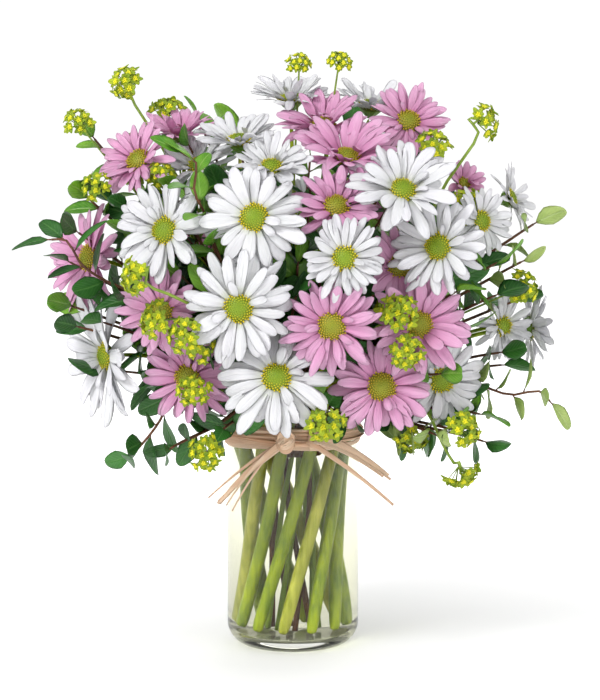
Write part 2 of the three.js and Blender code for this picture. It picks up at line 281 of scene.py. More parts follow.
def rods(lines: np.ndarray, radius: np.ndarray, sides: int, tint: np.ndarray, finish: int = 0) -> Surface:
    """Round rods along lines: a circle of the radius at each point, square to the line there.

    Args:
        lines: rods by points by 3.
        radius: rods by points, or anything that broadcasts to it.
        sides: points round a rod.
        tint: one value for each rod.
        finish: the number of the finish.

    Returns:
        The closed surface of all the rods.
    """
    along = unit(np.gradient(lines, axis=1))
    across = basis(along.reshape(-1, 3), np.array([0.2, 0.9, 0.1])).reshape(*along.shape[:2], 3, 3)
    angle = np.linspace(0, 2 * np.pi, sides, endpoint=False)
    size = np.broadcast_to(radius, lines.shape[:2])[:, :, None, None]
    side, second = across[:, :, 0][:, :, None], across[:, :, 1][:, :, None]
    ring = np.cos(angle)[:, None] * side + np.sin(angle)[:, None] * second
    return closed_tubes(lines[:, :, None] + size * ring, tint, finish)


class BladeShape(Enum):
    """Outlines of a flat blade: where it is widest and how it ends."""

    PETAL_ROUND = (0.28, 0.70, 1.85)
    PETAL_POINTED = (0.28, 0.64, 1.5)
    LEAF = (0.10, 0.42, 1.35)
    BRACT = (0.55, 0.35, 1.25)


@dataclass
class Blades:
    """Flat blades that grow from roots, all built at once.

    A blade's middle line starts along its direction and bends evenly in its own upright plane.
    Its half width rises from a narrow base, holds, and closes at the tip along a power curve.
    Its section is a thin lens whose edges are lifted by the square of the way out to them.

    Fields:
        root: n by 3, where each blade starts.
        frame: n by 3 by 3, its side, normal and direction.
        length: n.
        width: n, the full width.
        shape: the outline.
        bend: n, how far it has turned towards its normal at the tip, in radians.
        lift: n, how high its edges stand over its middle, as a share of the half width.
        sway: n, how far its tip stands to the side, as a share of the length.
        twist: n, how far its tip is turned round its middle line, in radians.
        wave: how much its edges ripple, as a share of the half width.
        thick: its thickness.
        stations: rings along it.
        sides: points round its section.
        groove: how deep its lengthwise folds are, as a share of the half width.
    """

    root: np.ndarray
    frame: np.ndarray
    length: np.ndarray
    width: np.ndarray
    shape: BladeShape
    bend: np.ndarray
    lift: np.ndarray
    sway: np.ndarray
    twist: np.ndarray
    wave: float = 0.0
    thick: float = 0.35
    stations: int = 9
    sides: int = 8
    groove: float = 0.0

    def surface(self, tint: np.ndarray, finish: int = 0) -> Surface:
        """The closed surface of all the blades, by the formula in the class's words."""
        base, widest, power = self.shape.value
        v = np.sin(np.linspace(0, np.pi / 2, self.stations)) ** 1.15
        rise = base + (1 - base) * np.sin(np.clip(v / widest, 0, 1) * np.pi / 2)
        close = np.clip((v - widest) / (1 - widest), 0, 1)
        half = 0.5 * rise * np.maximum(1 - close**power, 0.0) ** (1 / 2.0) + 0.012
        angle = self.bend[:, None] * v
        step = np.diff(v, prepend=0.0) * self.length[:, None]
        out = np.cumsum(step * np.cos(angle), axis=1)
        up = np.cumsum(step * np.sin(angle), axis=1)
        aside = self.sway[:, None] * self.length[:, None] * v**2
        side, normal, ahead = (self.frame[:, k][:, None, None] for k in range(3))
        theta = np.linspace(0, 2 * np.pi, self.sides, endpoint=False)
        w = half[None] * self.width[:, None]
        c = np.cos(theta)
        flat = w[..., None] * c
        ripple = self.wave * np.sin(7 * v[None] + 9 * tint[:, None])[..., None] * np.abs(c) * np.sign(c)
        fold = self.groove * np.cos(2.8 * np.pi * c) * np.sin(np.pi * np.clip(v, 0, 0.97))[None, :, None]
        high = w[..., None] * (self.lift[:, None, None] * c**2 + ripple + fold)
        high = high + 0.5 * self.thick * np.sin(theta) * np.minimum(1.0, w[..., None])
        turn = (self.twist[:, None] * v)[..., None]
        flat, high = flat * np.cos(turn) - high * np.sin(turn), flat * np.sin(turn) + high * np.cos(turn)
        tilt_n, tilt_a = np.cos(angle)[..., None], np.sin(angle)[..., None]
        points = (
            self.root[:, None, None]
            + (flat + aside[..., None])[..., None] * side
            + (up[..., None] + high * tilt_n)[..., None] * normal
            + (out[..., None] - high * tilt_a)[..., None] * ahead
        )
        return closed_tubes(points, tint, finish)


# ---- reading the frame -------------------------------------------------------------------------


def node_points(name: str) -> np.ndarray:
    """The different points of a CAD node's mesh, in millimetres."""
    mesh = frame["nodes"][name].data
    co = np.empty(len(mesh.vertices) * 3, np.float32)
    mesh.vertices.foreach_get("co", co)
    return np.unique(np.round(co.reshape(-1, 3) / MM, 3), axis=0)


def node_names(*starts: str) -> list[str]:
    """The CAD nodes whose names start with any of these words, in order."""
    return sorted(n for n in frame["nodes"] if n.startswith(starts))


# ---- finishes ----------------------------------------------------------------------------------


class Graph:
    """A node tree with short ways to add, set and join nodes."""

    def __init__(self, tree: Tree) -> None:
        """Keeps the tree."""
        self.tree = tree

    def add(self, kind: str, **values: object) -> Node:
        """Adds a node; each value goes to the setting or the input of that name.

        Args:
            kind: the node's type.
            **values: settings of the node, or inputs with _ for each space.

        Returns:
            The node.
        """
        node = self.tree.nodes.new(kind)
        for key, value in values.items():
            if hasattr(node, key):
                setattr(node, key, value)
        for key, value in values.items():
            if not hasattr(node, key):
                self.put(node, key.replace("_", " "), value)
        return node

    def put(self, node: Node, socket: str | int, value: Value) -> None:
        """Joins an output to an input, or sets the input to a value."""
        target = node.inputs[socket]
        if isinstance(value, Socket):
            self.tree.links.new(value, target)
        elif target.type == "RGBA" and len(value) == 3:
            target.default_value = (*value, 1)
        else:
            target.default_value = value

    def math(self, operation: str, a: Value, b: Value = 0.0) -> Socket:
        """The result of one sum on two values."""
        node = self.add("ShaderNodeMath", operation=operation)
        self.put(node, 0, a)
        self.put(node, 1, b)
        return node.outputs[0]

    def mix(self, share: Value, a: Value, b: Value, blend: str = "MIX") -> Socket:
        """A colour between two colours."""
        node = self.add("ShaderNodeMix", data_type="RGBA", blend_type=blend)
        self.put(node, 0, share)
        self.put(node, 6, a)
        self.put(node, 7, b)
        return node.outputs[2]

    def ramp(self, value: Socket, stops: list[tuple[float, Colour]]) -> Socket:
        """A colour that changes with a value, through the stops."""
        node = self.add("ShaderNodeValToRGB")
        self.put(node, 0, value)
        band = node.color_ramp
        while len(band.elements) < len(stops):
            band.elements.new(0.5)
        for element, (at, colour) in zip(band.elements, stops):
            element.position = at
            element.color = (*colour, 1)
        return node.outputs[0]

    def span(self, value: Value, low: float, high: float, to_low: float = 0.0, to_high: float = 1.0) -> Socket:
        """A value carried from one range to another, held at its ends."""
        return self.add(
            "ShaderNodeMapRange", Value=value, From_Min=low, From_Max=high, To_Min=to_low, To_Max=to_high
        ).outputs[0]


def new_group(name: str, inputs: list[tuple[str, str, float]], outputs: list[str]) -> tuple[Graph, Node, Node]:
    """Starts a shared shader node group.

    Args:
        name: its name.
        inputs: each input's name, kind (Vector or Float) and value.
        outputs: the names of its value outputs.

    Returns:
        The group's graph, its input node and its output node.
    """
    tree = bpy.data.node_groups.new(name, "ShaderNodeTree")
    for label, kind, value in inputs:
        socket = tree.interface.new_socket(name=label, in_out="INPUT", socket_type="NodeSocket" + kind)
        if kind == "Float":
            socket.default_value = value
    for label in outputs:
        tree.interface.new_socket(name=label, in_out="OUTPUT", socket_type="NodeSocketFloat")
    graph = Graph(tree)
    return graph, graph.add("NodeGroupInput"), graph.add("NodeGroupOutput")


def fine_lines_group() -> Tree:
    """Lengthwise veins or fibres: noise on the shape's own place, drawn out along it.

    Across and Along are how many features the shape shows each way.
    """
    graph, into, out = new_group(
        "fine_lines",
        [("Place", "Vector", 0), ("Tint", "Float", 0.5), ("Across", "Float", 12), ("Along", "Float", 1.5)],
        ["Height"],
    )
    split = graph.add("ShaderNodeSeparateXYZ", Vector=into.outputs["Place"])
    x = graph.math("MULTIPLY", split.outputs[0], into.outputs["Across"])
    y = graph.math("MULTIPLY", split.outputs[1], into.outputs["Along"])
    z = graph.math("MULTIPLY", into.outputs["Tint"], 40.0)
    where = graph.add("ShaderNodeCombineXYZ", X=x, Y=y, Z=z)
    noise = graph.add("ShaderNodeTexNoise", Vector=where.outputs[0], Scale=1.0, Detail=3.0, Roughness=0.6)
    graph.put(out, "Height", graph.span(noise.outputs[0], 0.3, 0.7))
    return graph.tree


def mottle_group() -> Tree:
    """Soft blotches and fine specks on Object coordinates, for living green surfaces."""
    graph, into, out = new_group(
        "mottle", [("Point", "Vector", 0), ("Size mm", "Float", 6.0)], ["Blotch", "Speck"]
    )
    scale = graph.math("DIVIDE", 1000.0, into.outputs["Size mm"])
    soft = graph.add("ShaderNodeTexNoise", Vector=into.outputs["Point"], Scale=scale, Detail=2.0)
    graph.put(out, "Blotch", graph.span(soft.outputs[0], 0.35, 0.65))
    finer = graph.math("MULTIPLY", scale, 9.0)
    fine = graph.add("ShaderNodeTexNoise", Vector=into.outputs["Point"], Scale=finer, Detail=1.0)
    graph.put(out, "Speck", graph.span(fine.outputs[0], 0.55, 0.72))
    return graph.tree


def leaf_vein_group() -> Tree:
    """A leaf's midrib and side veins: a ridge at half way across, and slanting waves off it."""
    graph, into, out = new_group("leaf_veins", [("Place", "Vector", 0)], ["Rib", "Veins"])
    split = graph.add("ShaderNodeSeparateXYZ", Vector=into.outputs["Place"])
    off = graph.math("ABSOLUTE", graph.math("SUBTRACT", split.outputs[0], 0.5))
    graph.put(out, "Rib", graph.span(off, 0.0, 0.07, 1.0, 0.0))
    run = graph.math("MULTIPLY", split.outputs[1], 60.0)
    slant = graph.math("SUBTRACT", run, graph.math("MULTIPLY", off, 34.0))
    graph.put(out, "Veins", graph.span(graph.math("SINE", slant), 0.4, 1.0))
    return graph.tree


class Finishes:
    """The shared groups, and every material made from a finish."""

    def __init__(self) -> None:
        """Makes the shared node groups."""
        self.lines = fine_lines_group()
        self.mottle = mottle_group()
        self.veins = leaf_vein_group()

    def start(self, name: str) -> tuple[Material, Graph, Node, Node]:
        """A new material with a Principled shader.

        Args:
            name: the material's name.

        Returns:
            The material, its graph, its shader and its output node.
        """
        material = bpy.data.materials.new(name)
        material.use_nodes = True
        graph = Graph(material.node_tree)
        shader = material.node_tree.nodes["Principled BSDF"]
        return material, graph, shader, material.node_tree.nodes["Material Output"]

    def use(self, graph: Graph, group: Tree, **values: object) -> Node:
        """Places a shared group in a material with its own values."""
        node = graph.add("ShaderNodeGroup", node_tree=group)
        for key, value in values.items():
            graph.put(node, key.replace("_", " "), value)
        return node

    def place(self, graph: Graph) -> tuple[Socket, Socket, Socket]:
        """The shape's place, the part of it that is along, and its tint."""
        uv = graph.add("ShaderNodeUVMap", uv_map="place").outputs[0]
        along = graph.add("ShaderNodeSeparateXYZ", Vector=uv).outputs[1]
        tint = graph.add("ShaderNodeAttribute", attribute_name="tint").outputs["Fac"]
        return uv, along, tint

    def bump(self, graph: Graph, shader: Node, height: Socket, depth_mm: float) -> None:
        """Raises the surface by a height map, to a depth in millimetres."""
        node = graph.add("ShaderNodeBump", Height=height, Distance=depth_mm * MM, Strength=1.0)
        graph.put(shader, "Normal", node.outputs[0])

    def glow(self, graph: Graph, shader: Node, out: Node, colour: Socket, share: float) -> None:
        """Lets a share of the light through a thin blade."""
        through = graph.add("ShaderNodeBsdfTranslucent", Color=colour)
        both = graph.add("ShaderNodeMixShader")
        graph.put(both, 0, share)
        graph.put(both, 1, shader.outputs[0])
        graph.put(both, 2, through.outputs[0])
        graph.put(out, 0, both.outputs[0])


@dataclass(frozen=True)
class PetalFinish:
    """A petal's colours from its base to its tip, and the painted shade laid along the low lines of its folds,
    partly the colour of its veins.
    """

    name: str
    base: Colour
    middle: Colour
    tip: Colour
    vein: Colour
    other: Colour

    def build(self, finishes: Finishes) -> Material:
        """The material of the petals."""
        material, graph, shader, out = finishes.start(self.name)
        uv, along, tint = finishes.place(graph)
        colour = graph.ramp(along, [(0.0, self.base), (0.22, self.middle), (0.95, self.tip)])
        varied = graph.mix(graph.span(tint, 0.0, 1.0, 0.0, 0.55), colour, self.other)
        veins = finishes.use(graph, finishes.lines, Place=uv, Tint=tint, Across=11.0, Along=1.1)
        lines = veins.outputs["Height"]
        # Painted shade, partly vein colour: up to 42% of the vein colour goes into the low lines of the bump,
        # darkening the petal's folds.
        veined_and_fold_shade = graph.mix(graph.span(lines, 0.0, 1.0, 0.42, 0.0), varied, self.vein)
        graph.put(shader, "Base Color", veined_and_fold_shade)
        shader.inputs["Roughness"].default_value = 0.5
        shader.inputs["Specular IOR Level"].default_value = 0.35
        finishes.bump(graph, shader, lines, 0.4)
        finishes.glow(graph, shader, out, veined_and_fold_shade, 0.3)
        return material


@dataclass(frozen=True)
class LeafFinish:
    """A leaf's two greens, the colour of its veins, and its gloss."""

    name: str
    dark: Colour
    light: Colour
    vein: Colour
    roughness: float = 0.28

    def build(self, finishes: Finishes) -> Material:
        """The material of the leaves."""
        material, graph, shader, out = finishes.start(self.name)
        uv, along, tint = finishes.place(graph)
        point = graph.add("ShaderNodeTexCoord").outputs["Object"]
        blotch = finishes.use(graph, finishes.mottle, Point=point, Size_mm=7.0).outputs["Blotch"]
        share = graph.math("ADD", graph.math("MULTIPLY", tint, 0.7), graph.math("MULTIPLY", blotch, 0.3))
        veins = finishes.use(graph, finishes.veins, Place=uv)
        colour = graph.mix(share, self.dark, self.light)
        colour = graph.mix(graph.math("MULTIPLY", veins.outputs["Rib"], 0.7), colour, self.vein)
        colour = graph.mix(graph.math("MULTIPLY", veins.outputs["Veins"], 0.16), colour, self.vein)
        graph.put(shader, "Base Color", colour)
        graph.put(shader, "Roughness", graph.span(blotch, 0.0, 1.0, self.roughness, self.roughness + 0.14))
        shader.inputs["Specular IOR Level"].default_value = 0.5
        rib = graph.math("MULTIPLY", veins.outputs["Rib"], -1.0)
        raised = graph.math("ADD", rib, graph.math("MULTIPLY", veins.outputs["Veins"], -0.35))
        finishes.bump(graph, shader, raised, 0.35)
        finishes.glow(graph, shader, out, colour, 0.18)
        return material


@dataclass(frozen=True)
class StemFinish:
    """A stem's two colours along its fibres, and its roughness."""

    name: str
    dark: Colour
    light: Colour
    roughness: float = 0.42

    def build(self, finishes: Finishes) -> Material:
        """The material of stems and stalks, on Object coordinates drawn out along Z."""
        material, graph, shader, _ = finishes.start(self.name)
        point = graph.add("ShaderNodeTexCoord").outputs["Object"]
        drawn = graph.add("ShaderNodeMapping", Vector=point, Scale=(1.0, 1.0, 0.07))
        marks = finishes.use(graph, finishes.mottle, Point=drawn.outputs[0], Size_mm=2.4)
        broad = finishes.use(graph, finishes.mottle, Point=point, Size_mm=26.0).outputs["Blotch"]
        narrow = graph.math("MULTIPLY", marks.outputs["Blotch"], 0.4)
        share = graph.math("ADD", narrow, graph.math("MULTIPLY", broad, 0.6))
        colour = graph.mix(share, self.dark, self.light)
        graph.put(shader, "Base Color", colour)
        shader.inputs["Roughness"].default_value = self.roughness
        finishes.bump(graph, shader, marks.outputs["Blotch"], 0.25)
        return material


@dataclass(frozen=True)
class DiscFinish:
    """The florets' colours from the middle of the disc to its rim."""

    name: str
    middle: Colour
    half: Colour
    rim: Colour

    def build(self, finishes: Finishes) -> Material:
        """The material of a daisy's disc; its tint is how far out a floret stands, and each floret and the dome get
        a painted shade towards their foot.
        """
        material, graph, shader, _ = finishes.start(self.name)
        _, along, tint = finishes.place(graph)
        colour = graph.ramp(tint, [(0.0, self.middle), (0.5, self.half), (0.93, self.rim)])
        # Painted shade: a darker multiply towards the foot of each floret and the dome's lower side, where they
        # sink between neighbours and under the petals.
        dark = graph.mix(1.0, colour, (0.35, 0.36, 0.25, 1), "MULTIPLY")
        graph.put(shader, "Base Color", graph.mix(graph.span(along, 0.0, 0.8), dark, colour))
        shader.inputs["Roughness"].default_value = 0.55
        return material


@dataclass(frozen=True)
class RaffiaFinish:
    """Dry leaf fibre: pale and tan streaks along a strand."""

    name: str
    pale: Colour
    tan: Colour

    def build(self, finishes: Finishes) -> Material:
        """The material of the raffia."""
        material, graph, shader, out = finishes.start(self.name)
        uv, _, tint = finishes.place(graph)
        fibres = finishes.use(graph, finishes.lines, Place=uv, Tint=tint, Across=9.0, Along=3.0)
        lines = fibres.outputs["Height"]
        share = graph.math("ADD", graph.math("MULTIPLY", lines, 0.55), graph.math("MULTIPLY", tint, 0.45))
        colour = graph.mix(share, self.tan, self.pale)
        graph.put(shader, "Base Color", colour)
        shader.inputs["Roughness"].default_value = 0.7
        finishes.bump(graph, shader, lines, 0.3)
        finishes.glow(graph, shader, out, colour, 0.15)
        return material


@dataclass(frozen=True)
class ClearFinish:
    """Glass or water: its colour, how it bends light, and how much of its own shadow it keeps."""

    name: str
    colour: Colour
    ior: float
    shadow: Colour

    def build(self, finishes: Finishes) -> Material:
        """The clear material; a shadow ray passes it tinted instead of being stopped."""
        material, graph, shader, out = finishes.start(self.name)
        shader.inputs["Base Color"].default_value = (*self.colour, 1)
        shader.inputs["Roughness"].default_value = 0.0
        shader.inputs["IOR"].default_value = self.ior
        shader.inputs["Transmission Weight"].default_value = 1.0
        shader.inputs["Specular Tint"].default_value = (0.4, 0.4, 0.4, 1)
        passing = graph.add("ShaderNodeBsdfTransparent", Color=(*self.shadow, 1))
        both = graph.add("ShaderNodeMixShader")
        graph.put(both, 0, graph.add("ShaderNodeLightPath").outputs["Is Shadow Ray"])
        graph.put(both, 1, shader.outputs[0])
        graph.put(both, 2, passing.outputs[0])
        graph.put(out, 0, both.outputs[0])
        return material


# ---- daisies -----------------------------------------------------------------------------------


@dataclass
class Daisy:
    """One daisy, with its place, reach and cup read from the CAD node that it stands for.

    Fields:
        name: the CAD node.
        foot: where its stalk ends.
        axis: the way it faces.
        reach: how far its petals reach.
        cup: how far they stand up from flat, in radians.
        calyx: the height of the disc over the foot, in millimetres.
        share: the part of the reach that the CAD solid has.
    """

    name: str
    calyx: float = 7.0
    share: float = 0.88
    foot: np.ndarray = field(init=False)
    axis: np.ndarray = field(init=False)
    reach: float = field(init=False)
    cup: float = field(init=False)

    def __post_init__(self) -> None:
        """Reads the solid of revolution: its axis is the direction whose spread differs from the others."""
        points = node_points(self.name)
        middle = points.mean(axis=0)
        spread, ways = np.linalg.eigh(np.cov((points - middle).T))
        axis = ways[:, 0 if spread[1] - spread[0] > spread[2] - spread[1] else 2]
        along = (points - middle) @ axis
        out = np.linalg.norm(points - middle - along[:, None] * axis, axis=1)
        if out[along < along.min() + 0.3].max() > out[along > along.max() - 0.3].max():
            axis, along = -axis, -along
        self.axis = axis
        self.foot = middle + axis * along.min()
        widest = out.max()
        rim = along[out > widest - 0.1].min() - along.min() - self.calyx
        self.reach = float(np.hypot(widest, rim) / self.share)
        self.cup = float(np.arctan2(rim, widest))

    @property
    def pink(self) -> bool:
        """Whether it is one of the pink daisies."""
        return self.name.startswith("pink")

    @property
    def disc_radius(self) -> float:
        """The disc's radius, smaller on a small daisy."""
        return min(8.2, 0.29 * self.reach)

    def frame(self) -> np.ndarray:
        """Its side, second and facing directions as rows."""
        return basis(self.axis[None])[0]

    def to_world(self, surface: Surface) -> Surface:
        """The surface moved from the daisy's own frame, Z along its axis, to its place."""
        surface.points = self.foot + surface.points @ self.frame()
        return surface

    def petals(self, rng: np.random.Generator) -> Surface:
        """Two rows of petals round the disc and a few short ones in it.

        A petal starts at the disc's edge along its bearing, lifted by the cup, and bends back
        towards its tip; every measure varies a little from petal to petal.
        """
        rows = int(round(rng.integers(14, 18) * (0.8 if self.reach < 18 else 1.0)))
        inner = int(rng.integers(2, 7)) if self.reach > 20 else 0
        row = np.repeat([0, 1, 2], [rows, rows, inner])
        count = len(row)
        spacing = 2 * np.pi / rows
        steps = np.concatenate([np.arange(rows), np.arange(rows) + 0.5, rng.uniform(0, rows, inner)])
        bearing = steps * spacing
        bearing = bearing + rng.normal(0, 0.17, count) * spacing
        length = np.array([1.03, 0.93, 0.42])[row] * (self.reach - 0.75 * self.disc_radius)
        length = length * np.clip(rng.normal(1.0, 0.09, count), 0.75, 1.13)
        rise = self.cup + np.radians(np.array([2.0, 14.0, 46.0])[row] + rng.normal(0, 8.0, count))
        bend = -np.radians(np.array([13.0, 17.0, 55.0])[row] + rng.normal(0, 13.0, count))
        if self.cup < -0.05:
            bend = bend - np.radians(16)
        if self.cup > 0.4:
            bend = bend - np.radians(14)
        width = self.reach * (0.29 if self.pink else 0.295) * rng.uniform(0.78, 1.16, count)
        width = width * np.array([1.0, 0.94, 0.6])[row] * (13 / rows)
        ahead = spokes(bearing, rise)
        start = np.array([0.72, 0.72, 0.78])[row] * self.disc_radius
        level = self.calyx + np.array([-0.9, 0.1, 1.2])[row]
        root = np.stack([np.cos(bearing) * start, np.sin(bearing) * start, level], axis=-1)
        shape = BladeShape.PETAL_POINTED if self.pink else BladeShape.PETAL_ROUND
        blades = Blades(
            root, basis(ahead), length, width, shape, bend,
            rng.normal(0.16, 0.26, count), rng.normal(0, 0.08, count), rng.normal(0, 0.34, count),
            wave=0.1, thick=0.26, stations=8, sides=8, groove=0.13,
        )
        return self.to_world(blades.surface(rng.uniform(0, 1, count)))

    def disc(self, rng: np.random.Generator) -> list[Surface]:
        """A low dome set with florets in a spiral of the golden angle, larger to the rim.

        The dome's height falls with the square of the way out; a floret is a short rod with a
        narrower top that stands square to the dome.
        """
        radius = self.disc_radius
        rise = 0.5 * radius
        t = np.array([1.0, 1.02, 0.96, 0.85, 0.65, 0.4, 0.1])
        h = np.array([-1.2, 0.2, 0.12, 0.28, 0.58, 0.84, 0.99])
        profile = np.stack([radius * t, self.calyx + np.where(h < 0, h, h * rise)], axis=-1)
        dome = turned(profile, 20, 0.2, 1)
        count = int(1.75 * radius**2)
        k = np.arange(count)
        out = np.sqrt((k + 0.5) / count)
        flat = radius * 0.99 * out
        high = self.calyx + rise * (1 - out**2)
        foot = np.stack([flat * np.cos(k * GOLDEN), flat * np.sin(k * GOLDEN), high], axis=-1)
        steep = radius * radius / (2 * rise) * np.ones(count) * 0.9
        way = unit(np.stack([foot[:, 0], foot[:, 1], steep], axis=-1))
        size = 0.42 + 0.2 * out
        tall = (0.5 + 1.1 * out**2) * rng.uniform(0.75, 1.25, count)
        stations = np.array([-0.3, 0.75, 1.0])
        line = foot[:, None] + way[:, None] * (tall[:, None] * stations)[..., None]
        tint = np.clip(out + rng.normal(0, 0.06, count), 0, 1)
        florets = rods(line, size[:, None] * np.array([0.8, 1.0, 0.5]), 5, tint, 1)
        return [self.to_world(dome), self.to_world(florets)]

    def calyx_cup(self, rng: np.random.Generator) -> list[Surface]:
        """The green cup, a turned profile, with two rows of narrow bracts laid up its side."""
        wide = self.disc_radius * 0.98
        profile = np.array([
            [1.5, -0.4], [2.2, 0.4], [0.5 * wide, 2.0], [0.85 * wide, 4.6], [wide, 6.3], [0.8 * wide, 6.9],
        ])
        cup = turned(profile, 18, 0.4, 2)
        count = 22
        k = np.arange(count)
        bearing = k * 2 * np.pi / count
        rise = np.radians(42 + 10 * (k % 2))
        start = 0.38 * wide + 0.1 * wide * (k % 2)
        ahead = spokes(bearing, rise)
        root = np.stack([np.cos(bearing) * start, np.sin(bearing) * start, 1.0 + 1.0 * (k % 2)], axis=-1)
        blades = Blades(
            root, basis(ahead), np.full(count, 0.85 * wide), np.full(count, 0.3 * wide), BladeShape.BRACT,
            np.full(count, 0.12), np.full(count, 0.2), np.zeros(count), np.zeros(count), 0.0, 0.5, 6, 6,
        )
        return [self.to_world(cup), self.to_world(blades.surface(rng.uniform(0, 1, count), 2))]

    def build(self, petal: Material, disc: Material, green: Material, seed: int) -> None:
        """Makes the daisy's mesh and hides its CAD solid."""
        rng = np.random.default_rng(seed)
        surfaces = [self.petals(rng), *self.disc(rng), *self.calyx_cup(rng)]
        make_piece(f"bloom_{self.name}", surfaces, [petal, disc, green], (self.name,))


# ---- twigs, leaves and umbels ------------------------------------------------------------------


def spine_of(name: str) -> np.ndarray:
    """A twig's middle line, from its foot to its end, read from its CAD mesh.

    Distance is carried out from the lowest points along the mesh's edges until it settles. The
    line goes back from the farthest point, each time to a neighbour nearer the foot, so it always
    ends. Each of its points is then moved to the middle of the ring of points around it.
    """
    mesh = frame["nodes"][name].data
    co = np.empty(len(mesh.vertices) * 3, np.float32)
    mesh.vertices.foreach_get("co", co)
    points, same = np.unique(np.round(co.reshape(-1, 3) / MM, 2), axis=0, return_inverse=True)
    edges = np.empty(len(mesh.edges) * 2, np.int32)
    mesh.edges.foreach_get("vertices", edges)
    a, b = same.reshape(-1)[edges.reshape(-1, 2)].T
    a, b = np.concatenate([a, b]), np.concatenate([b, a])
    span = np.linalg.norm(points[a] - points[b], axis=1)
    far = np.where(points[:, 2] < points[:, 2].min() + 0.5, 0.0, 1e9)
    for _ in range(len(points)):
        before = far.copy()
        np.minimum.at(far, b, far[a] + span)
        if np.array_equal(before, far):
            break
    at = int(np.argmax(far))
    line = [at]
    while far[at] > 0:
        near = a[(b == at) & (far[a] < far[at])]
        at = int(near[np.argmin(far[near] + np.linalg.norm(points[near] - points[at], axis=1))])
        line.append(at)
    way = points[line[::-1]]
    close = np.linalg.norm(points[None] - way[:, None], axis=-1) < 3.3
    middles = (close[..., None] * points[None]).sum(axis=1) / close.sum(axis=1)[:, None]
    keep = np.concatenate([[True], np.linalg.norm(np.diff(middles, axis=0), axis=1) > 2.5])
    return middles[keep]


@dataclass
class Crowd:
    """The daisies' places as arrays, to keep leaves and umbels out of them and in front of them."""

    daisies: list[Daisy]
    centre: np.ndarray = field(init=False)
    axis: np.ndarray = field(init=False)
    reach: np.ndarray = field(init=False)

    def __post_init__(self) -> None:
        """Gathers the arrays."""
        self.axis = np.array([d.axis for d in self.daisies])
        self.centre = np.array([d.foot for d in self.daisies]) + 9 * self.axis
        self.reach = np.array([d.reach for d in self.daisies])

    def blocked(self, points: np.ndarray, deep: float = 9.0) -> np.ndarray:
        """Whether each point lies in a daisy's flat cylinder of petals."""
        off = points[:, None] - self.centre[None]
        along = (off * self.axis).sum(axis=-1)
        out = np.linalg.norm(off - along[..., None] * self.axis, axis=-1)
        return ((np.abs(along) < deep) & (out < 0.85 * self.reach)).any(axis=1)

    def front(self, x: float, z: float) -> float:
        """How far forward the daisies stand near a place: a mean weighted by nearness."""
        fore = self.axis[:, 1] < 0.75
        off = np.hypot(self.centre[fore, 0] - x, self.centre[fore, 2] - z)
        weight = 1 / (off + 6) ** 3
        return float((self.centre[fore, 1] * weight).sum() / weight.sum())


